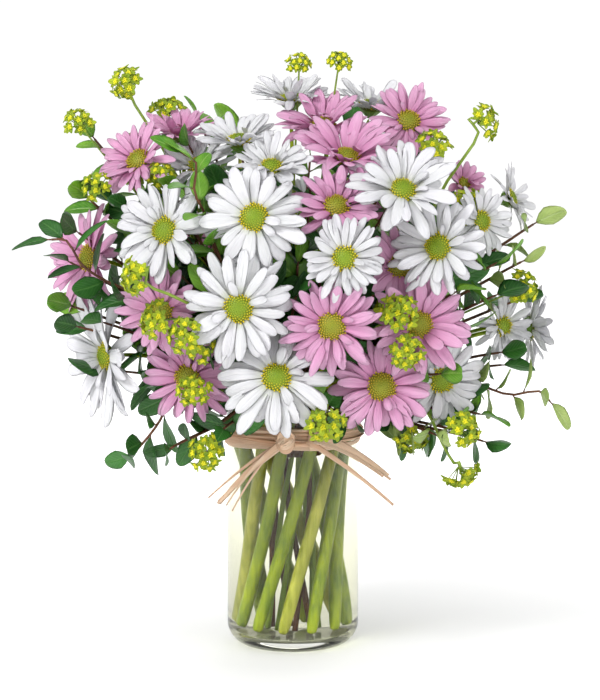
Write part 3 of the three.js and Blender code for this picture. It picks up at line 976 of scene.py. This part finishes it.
class Greens:
    """Leaves and umbels gathered from every twig, then made into a few pieces."""

    def __init__(self, crowd: Crowd) -> None:
        """Keeps the daisies that the leaves avoid."""
        self.crowd = crowd

    def leaves(
        self, line: np.ndarray, share: float, spacing: float, size: float, rng: np.random.Generator, finish: int
    ) -> list[Surface]:
        """Leaves in turn on both sides of a twig's last part, and one at its end.

        Args:
            line: the twig's middle line.
            share: the part of it, from the end, that carries leaves.
            spacing: between leaves, in millimetres.
            size: a leaf's length.
            rng: the random source.
            finish: the number of the finish.

        Returns:
            The leaves and their stalks.
        """
        walk = np.concatenate([[0], np.cumsum(np.linalg.norm(np.diff(line, axis=0), axis=1))])
        count = max(3, int(walk[-1] * share / spacing))
        shift = np.where(np.arange(count) > 0, rng.uniform(-2, 2, count), 0)
        at = walk[-1] - np.arange(count) * spacing - shift
        root = np.stack([np.interp(at, walk, line[:, k]) for k in range(3)], axis=-1)
        before = np.stack([np.interp(at - 3, walk, line[:, k]) for k in range(3)], axis=-1)
        along = unit(root - before)
        frames = basis(along)
        turn = np.arange(count) * np.pi + np.floor(np.arange(count) / 2) * 0.9 + rng.normal(0, 0.35, count)
        lean = np.where(np.arange(count) > 0, np.radians(rng.uniform(42, 68, count)), 0.12)
        away = np.cos(turn)[:, None] * frames[:, 0] + np.sin(turn)[:, None] * frames[:, 1]
        ahead = unit(along * np.cos(lean)[:, None] + away * np.sin(lean)[:, None])
        length = size * rng.uniform(0.75, 1.15, count)
        free = ~self.crowd.blocked(root + ahead * 0.7 * length[:, None])
        if not free.any():
            return []
        root, ahead, along, length = root[free], ahead[free], along[free], length[free]
        count = len(root)
        tint = rng.uniform(0, 1, count)
        outward = unit(root - np.array([0.0, 0.0, 195.0]))
        facing = outward + 0.25 * UP + rng.normal(0, 0.28, (count, 3))
        blades = Blades(
            root + ahead * 2.2, basis(ahead, facing), length, length * rng.uniform(0.5, 0.62, count),
            BladeShape.LEAF, -rng.uniform(0.1, 0.6, count), rng.uniform(0.1, 0.42, count),
            rng.normal(0, 0.06, count), rng.normal(0, 0.25, count), 0.05, 0.4, 8, 8,
        )
        stalk = np.stack([root, root + ahead * 3.0], axis=1)
        return [blades.surface(tint, finish), rods(stalk, np.array([[0.5, 0.4]]), 6, tint, 0)]

    def umbel(self, top: np.ndarray, way: np.ndarray, size: float, rng: np.random.Generator) -> list[Surface]:
        """One umbel: thin rays to a shallow dome of stars of pointed bracts with tiny florets.

        Args:
            top: where the rays leave the stalk.
            way: the way it faces.
            size: its radius.
            rng: the random source.

        Returns:
            The rays, bracts and florets.
        """
        count = int(rng.integers(10, 14))
        k = np.arange(count)
        tilt = np.radians(68) * np.sqrt((k + 0.3) / count)
        turn = k * GOLDEN + rng.uniform(0, 6.28)
        frame3 = basis(way[None])[0]
        local = np.stack([np.sin(tilt) * np.cos(turn), np.sin(tilt) * np.sin(turn), np.cos(tilt)], axis=-1)
        ray = unit(local @ frame3)
        end = top + ray * (size * rng.uniform(0.8, 1.05, count))[:, None]
        lines = np.stack([np.broadcast_to(top, end.shape), end], axis=1)
        rays = rods(lines, np.array([[0.35, 0.3]]), 5, rng.uniform(0, 1, count), 0)
        stars = 6
        star = np.repeat(k, stars)
        spin = np.tile(np.arange(stars) * 2 * np.pi / stars, count) + np.repeat(rng.uniform(0, 6.28, count), stars)
        frames = basis(ray)
        flat = np.cos(spin)[:, None] * frames[star, 0] + np.sin(spin)[:, None] * frames[star, 1]
        ahead = unit(flat + 0.35 * ray[star])
        blades = Blades(
            end[star], basis(ahead, ray[star]),
            rng.uniform(0.38, 0.56, len(star)) * size, rng.uniform(0.3, 0.42, len(star)) * size,
            BladeShape.BRACT, rng.normal(0.1, 0.2, len(star)), np.full(len(star), 0.25),
            np.zeros(len(star)), np.zeros(len(star)), thick=0.3, stations=5, sides=6,
        )
        dots = 8
        dot = np.repeat(k, dots)
        spot = np.arange(len(dot)) % dots
        spread = 0.15 * size * np.sqrt((spot + 0.5) / dots)
        turn_x, turn_y = np.cos(spot * GOLDEN)[:, None], np.sin(spot * GOLDEN)[:, None]
        middle = end[dot] + spread[:, None] * (turn_x * frames[dot, 0] + turn_y * frames[dot, 1])
        line = middle[:, None] + ray[dot][:, None] * np.array([0.0, 1.0, 1.7])[None, :, None]
        florets = rods(line, np.array([[0.3, 0.75, 0.35]]), 5, rng.uniform(0, 1, len(dot)), 2)
        return [rays, blades.surface(rng.uniform(0, 1, len(star)), 1), florets]


@dataclass(frozen=True)
class Sprig:
    """A twig or stalk that only fills in: where it leaves the mouth and where it ends.

    Fields:
        bearing: round the mouth, in degrees from +X.
        x: its end, across.
        z: its end, up.
        ahead: how far it stands in front of the daisies near there.
        size: a leaf's length or an umbel's radius.
    """

    bearing: float
    x: float
    z: float
    ahead: float
    size: float


@dataclass
class Foliage:
    """Every twig with leaves and every stalk with umbels."""

    greens: Greens
    finishes: Finishes
    mouth: float = 150.0
    bright: tuple[Sprig, ...] = (
        Sprig(200, -48, 226, 2, 24), Sprig(190, -131, 214, 0, 24), Sprig(150, -120, 314, -20, 22),
        Sprig(80, -62, 309, 0, 24), Sprig(330, 120, 240, 8, 22), Sprig(300, 86, 176, 14, 22),
        Sprig(210, -70, 282, 2, 24), Sprig(210, -46, 252, 4, 22), Sprig(230, -66, 236, 2, 24),
        Sprig(180, -122, 278, -10, 22), Sprig(340, 112, 150, 2, 20), Sprig(320, 96, 224, 2, 22),
    )
    dark: tuple[Sprig, ...] = (
        Sprig(340, 122, 220, 8, 28), Sprig(320, 114, 134, 4, 22), Sprig(215, -112, 205, 2, 24),
        Sprig(190, -134, 240, 0, 24), Sprig(195, -128, 202, 0, 24), Sprig(200, -98, 222, 8, 24),
        Sprig(185, -128, 258, 4, 22), Sprig(220, -72, 132, 2, 22), Sprig(330, 100, 140, 4, 22),
        Sprig(345, 126, 184, 4, 24), Sprig(350, 134, 214, -2, 22), Sprig(205, -92, 250, 2, 22),
        Sprig(230, -40, 145, 2, 24), Sprig(340, 128, 176, -4, 22), Sprig(250, 2, 222, -14, 24),
        Sprig(280, 48, 222, -16, 24), Sprig(265, -14, 232, -14, 22), Sprig(205, -98, 272, -8, 22),
        Sprig(290, 60, 250, -14, 22), Sprig(240, -46, 184, -4, 22), Sprig(300, 36, 148, -6, 22),
    )
    pale: tuple[Sprig, ...] = (
        Sprig(10, 148, 262, -10, 19), Sprig(350, 138, 240, 0, 20), Sprig(330, 84, 140, 6, 18),
    )
    umbels: tuple[Sprig, ...] = (
        Sprig(220, -52, 194, 10, 9), Sprig(225, -57, 168, 14, 9), Sprig(230, -50, 131, 6, 10),
        Sprig(285, 19, 149, 12, 11), Sprig(300, 60, 213, 10, 11), Sprig(300, 66, 190, 12, 10),
        Sprig(350, 137, 223, 6, 10), Sprig(100, 4, 358, 0, 7), Sprig(80, 28, 359, 0, 7),
        Sprig(160, -128, 322, -12, 9), Sprig(170, -116, 284, 0, 9), Sprig(190, -78, 292, 6, 8),
    )
    back: int = 30
    inner: int = 42

    def sprig_line(self, sprig: Sprig, count: int = 14) -> np.ndarray:
        """The middle line of a filling sprig: up through the mouth, out under the daisies, then forward."""
        angle = math.radians(sprig.bearing)
        foot = np.array([12 * math.cos(angle), 12 * math.sin(angle), self.mouth - 30])
        rim = np.array([22 * math.cos(angle), 22 * math.sin(angle), self.mouth + 6])
        y = self.greens.crowd.front(sprig.x, sprig.z) - sprig.ahead
        end = np.array([sprig.x, y, sprig.z])
        under = rim + (end - rim) * np.array([0.55, 0.42, 0.62])
        near = end + (under - end) * 0.28 + np.array([0, 5.0, 0])
        return smooth_line(np.array([foot, rim, under, near, end]), count)

    def back_lines(self) -> list[np.ndarray]:
        """Twigs that fan out over the back and sides, evenly by the golden angle."""
        lines = []
        low, high = (np.array(c) / MM for c in CAD_BOX)
        for k in range(self.back):
            turn = math.radians(12 + 156 * ((k * 0.618) % 1.0))
            height = 158 + 170 * (k + 0.5) / self.back
            wide = math.sqrt(max(0.08, 1 - ((height - 222) / 130) ** 2))
            across, deep = 0.66 * high[0] * wide, 0.86 * high[1] * wide
            end = np.array([across * math.cos(turn), deep * math.sin(turn), height])
            rim = np.array([18 * math.cos(turn), 18 * math.sin(turn), self.mouth + 4])
            foot = np.array([10 * math.cos(turn), 10 * math.sin(turn), self.mouth - 30])
            under = rim + (end - rim) * np.array([0.5, 0.5, 0.68])
            lines.append(smooth_line(np.array([foot, rim, under, end]), 14))
        return lines

    def inner_lines(self) -> list[np.ndarray]:
        """Twigs that fill the dome under its front daisies, evenly by the golden ratio."""
        lines = []
        for k in range(self.inner):
            x = -112 + 224 * ((k * 0.618 + 0.3) % 1.0)
            z = 156 + 150 * (k + 0.5) / self.inner
            z -= 0.0022 * x * x * (z - 150) / 150
            y = self.greens.crowd.front(x, z) * 0.72 + 4
            turn = math.atan2(y, x)
            rim = np.array([20 * math.cos(turn), 20 * math.sin(turn), self.mouth + 5])
            foot = np.array([11 * math.cos(turn), 11 * math.sin(turn), self.mouth - 28])
            end = np.array([x, y, z])
            under = rim + (end - rim) * np.array([0.45, 0.45, 0.62])
            lines.append(smooth_line(np.array([foot, rim, under, end]), 12))
        return lines

    def stalk(self, line: np.ndarray, wide: float, narrow: float, finish: int = 0) -> Surface:
        """A tapering rod along one line."""
        return rods(line[None], np.linspace(wide, narrow, len(line))[None], 8, np.array([0.5]), finish)

    def leafy(
        self, name: str, lines: list[np.ndarray], size: float, leaf: Material, bark: Material,
        share: float, seed: int, replaces: tuple[str, ...] = (),
    ) -> None:
        """One piece of twigs with leaves on the share of each line next to its end."""
        rng = np.random.default_rng(seed)
        surfaces: list[Surface] = []
        for line in lines:
            surfaces.append(self.stalk(line, 1.5, 0.7))
            surfaces += self.greens.leaves(line, share, size * 0.4, size, rng, 1)
        make_piece(name, surfaces, [bark, leaf], replaces)

    def build(self) -> None:
        """Makes the twigs and umbels of the frame and those that only fill in."""
        f = self.finishes
        dark = LeafFinish("dark_glossy_leaf", (0.012, 0.075, 0.012), (0.05, 0.21, 0.03), (0.1, 0.28, 0.06)).build(f)
        bright = LeafFinish("bright_leaf", (0.06, 0.24, 0.015), (0.24, 0.5, 0.04), (0.35, 0.6, 0.12)).build(f)
        pale = LeafFinish("pale_leaf", (0.2, 0.34, 0.06), (0.5, 0.62, 0.2), (0.55, 0.68, 0.3), 0.4).build(f)
        bark = StemFinish("red_brown_bark", (0.06, 0.015, 0.008), (0.16, 0.06, 0.02), 0.6).build(f)
        stalk = StemFinish("thin_green_stalk", (0.14, 0.24, 0.02), (0.3, 0.42, 0.05), 0.5).build(f)
        bract = LeafFinish("yellow_green_bract", (0.2, 0.36, 0.015), (0.56, 0.66, 0.025), (0.5, 0.62, 0.05), 0.5).build(f)
        floret = StemFinish("yellow_floret", (0.6, 0.6, 0.008), (0.85, 0.78, 0.015), 0.6).build(f)
        kinds = {"myrtle_twig_1": bright, "myrtle_twig_2": dark, "myrtle_twig_3": dark, "myrtle_twig_4": pale}
        for k, name in enumerate(node_names("myrtle_twig")):
            line = smooth_line(spine_of(name), 44)
            self.leafy(f"leaves_{name}", [line], 22, kinds.get(name, dark), bark, 0.5, 300 + k, (name,))
        filling = {"bright": (self.bright, bright), "dark": (self.dark, dark), "pale": (self.pale, pale)}
        for kind, (sprigs, leaf) in filling.items():
            name = f"{kind}_filling"
            for k, sprig in enumerate(sprigs):
                line = self.sprig_line(sprig)
                self.leafy(f"{name}_{k + 1}", [line], sprig.size, leaf, bark, 0.55, 340 + k + len(name))
        lines = self.back_lines()
        self.leafy("back_filling_dark", lines[::2], 24, dark, bark, 0.72, 380)
        self.leafy("back_filling_bright", lines[1::2], 22, bright, bark, 0.6, 381)
        lines = self.inner_lines()
        self.leafy("inner_filling_dark", lines[::3] + lines[1::3], 26, dark, bark, 0.7, 382)
        self.leafy("inner_filling_bright", lines[2::3], 24, bright, bark, 0.6, 383)
        for k, name in enumerate(node_names("bupleurum")):
            self.umbel_stem(name, [stalk, bract, floret], 400 + k)
        for k, sprig in enumerate(self.umbels):
            rng = np.random.default_rng(430 + k)
            line = self.sprig_line(sprig)
            way = unit(line[-1] - line[-3]) + np.array([0, -0.9, 0.25])
            surfaces = [self.stalk(line, 0.9, 0.55), *self.greens.umbel(line[-1], way, sprig.size, rng)]
            make_piece(f"umbel_filling_{k + 1}", surfaces, [stalk, bract, floret])

    def umbel_stem(self, name: str, finishes: list[Material], seed: int) -> None:
        """A stem of the frame with its umbels: the CAD buttons are the points far off its line."""
        rng = np.random.default_rng(seed)
        line = smooth_line(spine_of(name), 44)
        surfaces = [self.stalk(line, 1.5, 0.8)]
        points = node_points(name)
        off = np.linalg.norm(points[:, None] - line[None], axis=-1).min(axis=1)
        far = points[off > 12.5]
        tops = [line[-1]]
        while len(far):
            near = np.linalg.norm(far - far[0], axis=1) < 23
            tops.append(far[near].mean(axis=0))
            far = far[~near]
        for top in tops[:4]:
            gap = np.linalg.norm(line - top, axis=1)
            root = line[max(0, int(np.argmin(gap)) - 5)]
            way = unit(top - root)
            if np.linalg.norm(top - root) > 4:
                middle = 0.5 * (root + top) + np.array([0, 0, 2.0])
                surfaces.append(self.stalk(smooth_line(np.array([root, middle, top]), 7), 0.7, 0.5))
            surfaces += self.greens.umbel(top - way * 5, way + np.array([0, -0.5, 0.2]), 10.5, rng)
        make_piece(f"umbels_{name}", surfaces, finishes, (name,))


# ---- stems -------------------------------------------------------------------------------------


@dataclass
class SprayStem:
    """A spray's main stem and stalks: the CAD solid's skin, merged and rounded."""

    name: str
    rounding: int = 2

    def build(self, finish: Material) -> None:
        """Copies the CAD mesh, merges its points, pairs its triangles into quads, and rounds it."""
        mesh = frame["nodes"][self.name].data.copy()
        mesh.name = f"skin_{self.name}"
        work = bmesh.new()
        work.from_mesh(mesh)
        bmesh.ops.remove_doubles(work, verts=work.verts, dist=2e-5)
        bmesh.ops.join_triangles(work, faces=work.faces, angle_face_threshold=0.35, angle_shape_threshold=3.0)
        work.to_mesh(mesh)
        work.free()
        mesh.materials.clear()
        mesh.materials.append(finish)
        mesh.polygons.foreach_set("use_smooth", np.full(len(mesh.polygons), True))
        piece = bpy.data.objects.new(f"skin_{self.name}", mesh)
        bpy.context.scene.collection.objects.link(piece)
        rounded = piece.modifiers.new("rounded", "SUBSURF")
        rounded.levels = rounded.render_levels = self.rounding
        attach(piece, "root")
        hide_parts(self.name)
        LOG.info("%s: %d faces before rounding", piece.name, len(mesh.polygons))


# ---- vase, water and raffia --------------------------------------------------------------------


def quarter(r: float, h: float, radius: float, start: float, end: float, count: int = 9) -> np.ndarray:
    """Points of an arc about (r, h) between two angles in degrees."""
    angle = np.radians(np.linspace(start, end, count))
    return np.stack([r + radius * np.cos(angle), h + radius * np.sin(angle)], axis=-1)


@dataclass
class Vase:
    """The glass vase and the water in it, from the CAD node's radius and height."""

    wall: float = 3.0
    floor: float = 8.0
    corner: float = 14.0
    lip: float = 1.3
    level: float = 131.0
    sides: int = 96

    def glass_surface(self) -> Surface:
        """The glass: a profile up the outside, over the lip and down the inside, turned once round."""
        low, high = (np.array(c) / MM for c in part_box("vase"))
        radius, height = float(high[0]), float(high[2])
        inside, bend = radius - self.wall, self.corner - self.wall
        profile = np.concatenate([
            [[0.4, 0.0], [10.0, 0.0]],
            quarter(radius - self.corner, self.corner, self.corner, -90, 0, 14),
            [[radius, z] for z in np.linspace(30, height - 12, 6)],
            quarter(radius - self.lip, height - self.lip, self.lip, 0, 90, 6),
            quarter(inside + self.lip, height - self.lip, self.lip, 90, 180, 6),
            [[inside, z] for z in np.linspace(height - 12, 34, 6)],
            quarter(inside - bend, self.floor + bend, bend, 0, -90, 12),
            [[10.0, self.floor + 0.4], [0.4, self.floor + 0.6]],
        ])
        return turned(profile, self.sides)

    def water_surface(self) -> Surface:
        """The water: the inside's profile a hair into the glass, with an edge that climbs the wall."""
        _, high = (np.array(c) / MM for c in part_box("vase"))
        inside, bend = float(high[0]) - self.wall, self.corner - self.wall
        skin = 0.12
        profile = np.concatenate([
            [[0.4, self.floor + 0.6 - skin], [10.0, self.floor + 0.4 - skin]],
            quarter(inside - bend, self.floor + bend, bend + skin, -90, 0, 12),
            [[inside + skin, z] for z in np.linspace(34, self.level, 5)],
            [[inside + skin, self.level + 1.6], [inside - 0.5, self.level + 0.7], [inside - 1.6, self.level + 0.1]],
            [[inside - 6, self.level], [12.0, self.level], [0.4, self.level]],
        ])
        return turned(profile, self.sides)

    def build(self, finishes: Finishes) -> None:
        """Makes the glass and the water."""
        glass = ClearFinish("clear_glass", (0.93, 0.93, 0.885), 1.45, (0.88, 0.885, 0.85)).build(finishes)
        water = ClearFinish("clear_water", (0.9, 0.9, 0.78), 1.333, (0.95, 0.955, 0.9)).build(finishes)
        make_piece("glass_vase", [self.glass_surface()], [glass], ("vase",))
        make_piece("vase_water", [self.water_surface()], [water], ("water",))


@dataclass
class Raffia:
    """The raffia tie: strands round the glass, a knot, and tails with split ends."""

    band_strands: int = 9
    width: float = 4.4
    thick: float = 0.4

    def strand(
        self, lines: np.ndarray, width: np.ndarray, rng: np.random.Generator, lay: np.ndarray
    ) -> Surface:
        """Flat strands along lines.

        A strand's section is a flat oval, its wide way square to lay, and it narrows and turns
        a little along its way.

        Args:
            lines: strands by points by 3.
            width: strands by points.
            rng: the random source.
            lay: the direction that the strands lie against, which broadcasts to lines.

        Returns:
            The closed surface.
        """
        along = unit(np.gradient(lines, axis=1))
        face = unit(np.broadcast_to(lay, lines.shape) - (along * lay).sum(-1, keepdims=True) * along)
        side = np.cross(face, along)
        count, steps = lines.shape[:2]
        start, more = rng.normal(0, 0.35, (count, 1)), rng.normal(0, 0.5, (count, 1))
        turn = (start + more * np.linspace(0, 1, steps))[..., None]
        side, face = side * np.cos(turn) + face * np.sin(turn), face * np.cos(turn) - side * np.sin(turn)
        theta = np.linspace(0, 2 * np.pi, 8, endpoint=False)
        wide, deep = (0.5 * width[..., None] * side)[:, :, None], (0.5 * self.thick * face)[:, :, None]
        ring = np.cos(theta)[:, None] * wide + np.sin(theta)[:, None] * deep
        return closed_tubes(lines[:, :, None] + ring, rng.uniform(0, 1, count))

    def band(self, rng: np.random.Generator) -> Surface:
        """Strands once round the glass and a little past: circles that wander up and down."""
        low, high = (np.array(c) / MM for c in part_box("raffia_band"))
        radius, z = float(high[0]) - 0.9, 0.5 * float(low[2] + high[2])
        angle = np.linspace(-0.5 * np.pi - 0.25, 1.5 * np.pi + 0.25, 90)
        k = np.arange(self.band_strands)[:, None]
        wander = 1.3 * np.sin(angle + 2.1 * k) + 0.5 * np.sin(3 * angle + k)
        rise = z + (k - self.band_strands / 2 + 0.5) * 1.05 + wander
        out = radius + 0.25 * (k % 3) + 0.25 * np.sin(5 * angle + 1.7 * k)
        lines = np.stack([out * np.cos(angle), out * np.sin(angle), rise], axis=-1)
        width = self.width * (0.85 + 0.25 * np.sin(4 * angle + k))
        return self.strand(lines, width, rng, unit(lines * np.array([1, 1, 0])))

    def tails(self, start: np.ndarray, ends: np.ndarray, sag: float, rng: np.random.Generator) -> Surface:
        """A bunch of tails: each goes from the knot over the glass and bends down to its end."""
        count = len(ends)
        t = np.linspace(0, 1, 16)[None, :, None]
        first = start + rng.normal(0, 1.1, (count, 3))
        over = first + (ends - first) * 0.45 + np.array([0, -6.0, 5.0]) + rng.normal(0, 1.6, (count, 3))
        lines = (1 - t) ** 2 * first[:, None] + 2 * t * (1 - t) * over[:, None] + t**2 * ends[:, None]
        lines[..., 2] -= sag * (t[..., 0] ** 2) * rng.uniform(0.3, 1.0, (count, 1))
        width = np.linspace(1.0, 0.45, 16)[None] * self.width * rng.uniform(0.55, 1.25, (count, 1))
        return self.strand(lines, width, rng, np.array([0.0, -1.0, 0.15]))

    def build(self, finishes: Finishes) -> None:
        """Makes the band, the knot with its left tails, and the right tails."""
        rng = np.random.default_rng(77)
        finish = RaffiaFinish("dry_raffia", (0.97, 0.79, 0.6), (0.84, 0.5, 0.3)).build(finishes)
        make_piece("raffia_round_glass", [self.band(rng)], [finish], ("raffia_band",))
        low, high = (np.array(c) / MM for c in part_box("raffia_knot"))
        knot = np.array([-4.0, low[1] + 3.0, high[2] - 4.5])
        count = 7
        spread = np.linspace(0, 1, count)[:, None]
        left = np.array([low[0] - 1.0, low[1] + 7.0, low[2] + 1.0]) + spread * np.array([14.0, -2.0, -2.0])
        left = left + rng.normal(0, 1.8, (count, 3))
        angle = np.linspace(0, 2 * np.pi, 26)
        k = np.arange(4)[:, None]
        loops = knot + np.stack([
            (3.5 + 1.6 * k) * np.cos(angle) * (1 - 0.2 * k),
            -1.0 - 2.6 * np.abs(np.sin(angle)) - 0.3 * k,
            (5.4 - k) * np.sin(angle + 0.4 * k),
        ], axis=-1)
        wraps = self.strand(loops, np.full((4, 26), self.width), rng, np.array([0.0, -1.0, 0.1]))
        knotted = [wraps, self.tails(knot, left, 3.0, rng)]
        make_piece("raffia_knot_and_left_tails", knotted, [finish], ("raffia_knot",))
        low, high = (np.array(c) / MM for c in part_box("raffia_tail"))
        start = np.array([low[0] + 8.0, low[1] + 3.5, high[2] - 1.0])
        right = np.array([high[0] + 1.0, high[1] - 3.0, low[2] + 4.0]) + rng.normal(0, 1.6, (6, 3))
        right[-1] += np.array([4.0, 0.0, -20.0])
        loose = [self.tails(start, right, 2.0, rng)]
        make_piece("raffia_right_tails", loose, [finish], ("raffia_tail",))


# ---- stage -------------------------------------------------------------------------------------


@dataclass
class Stage:
    """The pale floor, the soft lights and the camera."""

    target: tuple[float, float, float] = (0.0045, 0.0, 0.184)
    distance: float = 1.32
    elevation: float = 5.5
    height: float = 0.434

    def floor(self) -> None:
        """A wide pale sheet, flat to its edges."""
        n = 81
        line = np.linspace(-1, 1, n)
        x, y = np.meshgrid(line * 4200, line * 4200, indexing="ij")
        points = np.stack([x, y, np.zeros_like(x)], axis=-1).reshape(-1, 3)
        i, j = np.meshgrid(np.arange(n - 1), np.arange(n - 1), indexing="ij")
        a = i * n + j
        quads = np.stack([a, a + n, a + n + 1, a + 1], axis=-1).reshape(-1, 4)
        mesh = bpy.data.meshes.new("floor")
        mesh.from_pydata((points * MM).tolist(), [], quads.tolist())
        paper = bpy.data.materials.new("pale_paper")
        paper.use_nodes = True
        graph = Graph(paper.node_tree)
        shader = paper.node_tree.nodes["Principled BSDF"]
        where = graph.add("ShaderNodeTexCoord").outputs["Object"]
        away = graph.add("ShaderNodeVectorMath", operation="LENGTH")
        graph.put(away, 0, where)
        shader.inputs["Emission Color"].default_value = (1, 1, 1, 1)
        graph.put(shader, "Emission Strength", graph.span(away.outputs["Value"], 0.07, 0.62, 0.0, 0.55))
        shader.inputs["Base Color"].default_value = (0.9, 0.9, 0.9, 1)
        shader.inputs["Roughness"].default_value = 0.9
        shader.inputs["Specular IOR Level"].default_value = 0.1
        mesh.materials.append(paper)
        piece = bpy.data.objects.new("floor", mesh)
        bpy.context.scene.collection.objects.link(piece)

    def world(self) -> None:
        """A white room: full white where it is looked at or through, softer as a light."""
        world = bpy.data.worlds.new("studio")
        world.use_nodes = True
        bpy.context.scene.world = world
        graph = Graph(world.node_tree)
        back = world.node_tree.nodes["Background"]
        path = graph.add("ShaderNodeLightPath")
        seen = graph.math("MAXIMUM", path.outputs["Is Camera Ray"], path.outputs["Is Transmission Ray"])
        back.inputs["Color"].default_value = (1, 1, 1, 1)
        soft = graph.span(path.outputs["Is Glossy Ray"], 0.0, 1.0, 0.76, 0.3)
        graph.put(back, "Strength", graph.math("MAXIMUM", soft, graph.math("MULTIPLY", seen, 1.06)))

    def light(self, name: str, place: tuple[float, float, float], size: float, power: float) -> None:
        """A square soft light that faces the bouquet."""
        data = bpy.data.lights.new(name, "AREA")
        data.size = size
        data.energy = power
        lamp = bpy.data.objects.new(name, data)
        way = Vector(self.target) - Vector(place)
        lamp.location = place
        lamp.rotation_euler = way.to_track_quat("-Z", "Y").to_euler()
        bpy.context.scene.collection.objects.link(lamp)

    def camera(self) -> None:
        """A long lens a little above the bouquet's middle, from the front."""
        data = bpy.data.cameras.new("camera")
        data.sensor_fit = "VERTICAL"
        data.sensor_height = 36.0
        data.lens = 36.0 * self.distance / self.height
        data.clip_end = 50
        camera = bpy.data.objects.new("camera", data)
        lift = math.radians(self.elevation)
        away = Vector((0, -math.cos(lift), math.sin(lift))) * self.distance
        camera.location = Vector(self.target) + away
        camera.rotation_euler = (-away).to_track_quat("-Z", "Y").to_euler()
        bpy.context.scene.collection.objects.link(camera)
        bpy.context.scene.camera = camera

    def build(self) -> None:
        """Sets the floor, the room, the lights and the camera."""
        self.floor()
        self.world()
        self.light("key", (-1.0, -1.1, 1.4), 0.6, 22.0)
        self.light("fill", (1.3, -1.0, 0.9), 1.0, 7.0)
        self.light("rim", (0.3, 1.4, 1.2), 1.0, 8.0)
        self.camera()
        view = bpy.context.scene.view_settings
        view.view_transform = "Standard"


def main() -> None:
    """Builds the bouquet and its stage."""
    logging.basicConfig(level=logging.INFO, format="%(name)s %(message)s")
    finishes = Finishes()
    Stage().build()
    # Each petal finish's vein colour is the painted shade in its folds, partly real vein colour.
    white = PetalFinish(
        "white_petal", (0.66, 0.74, 0.42), (0.91, 0.92, 0.91), (0.95, 0.95, 0.96),
        vein=(0.74, 0.74, 0.81), other=(0.92, 0.9, 0.94),
    ).build(finishes)
    pink = PetalFinish(
        "pink_petal", (0.66, 0.16, 0.43), (0.84, 0.4, 0.65), (0.95, 0.7, 0.87),
        vein=(0.66, 0.22, 0.5), other=(0.94, 0.62, 0.82),
    ).build(finishes)
    fresh = DiscFinish("fresh_disc", (0.16, 0.3, 0.01), (0.34, 0.42, 0.01), (0.75, 0.58, 0.01)).build(finishes)
    ripe = DiscFinish("ripe_disc", (0.2, 0.28, 0.01), (0.42, 0.36, 0.015), (0.62, 0.42, 0.02)).build(finishes)
    green = StemFinish("green_calyx", (0.08, 0.2, 0.015), (0.2, 0.36, 0.04), 0.5).build(finishes)
    stem = StemFinish("green_stem", (0.12, 0.22, 0.001), (0.46, 0.56, 0.004), 0.3).build(finishes)
    olive = StemFinish("olive_stem", (0.28, 0.32, 0.006), (0.74, 0.74, 0.14), 0.3).build(finishes)
    daisies = [Daisy(n) for n in node_names("white_daisy", "pink_daisy")]
    for k, daisy in enumerate(daisies):
        daisy.build(pink if daisy.pink else white, ripe if daisy.pink else fresh, green, 100 + k)
    for k, name in enumerate(node_names("white_stem", "pink_stem")):
        SprayStem(name).build(olive if k % 3 == 1 else stem)
    Foliage(Greens(Crowd(daisies)), finishes).build()
    Raffia().build(finishes)
    Vase().build(finishes)


if __name__ == "__main__":
    main()
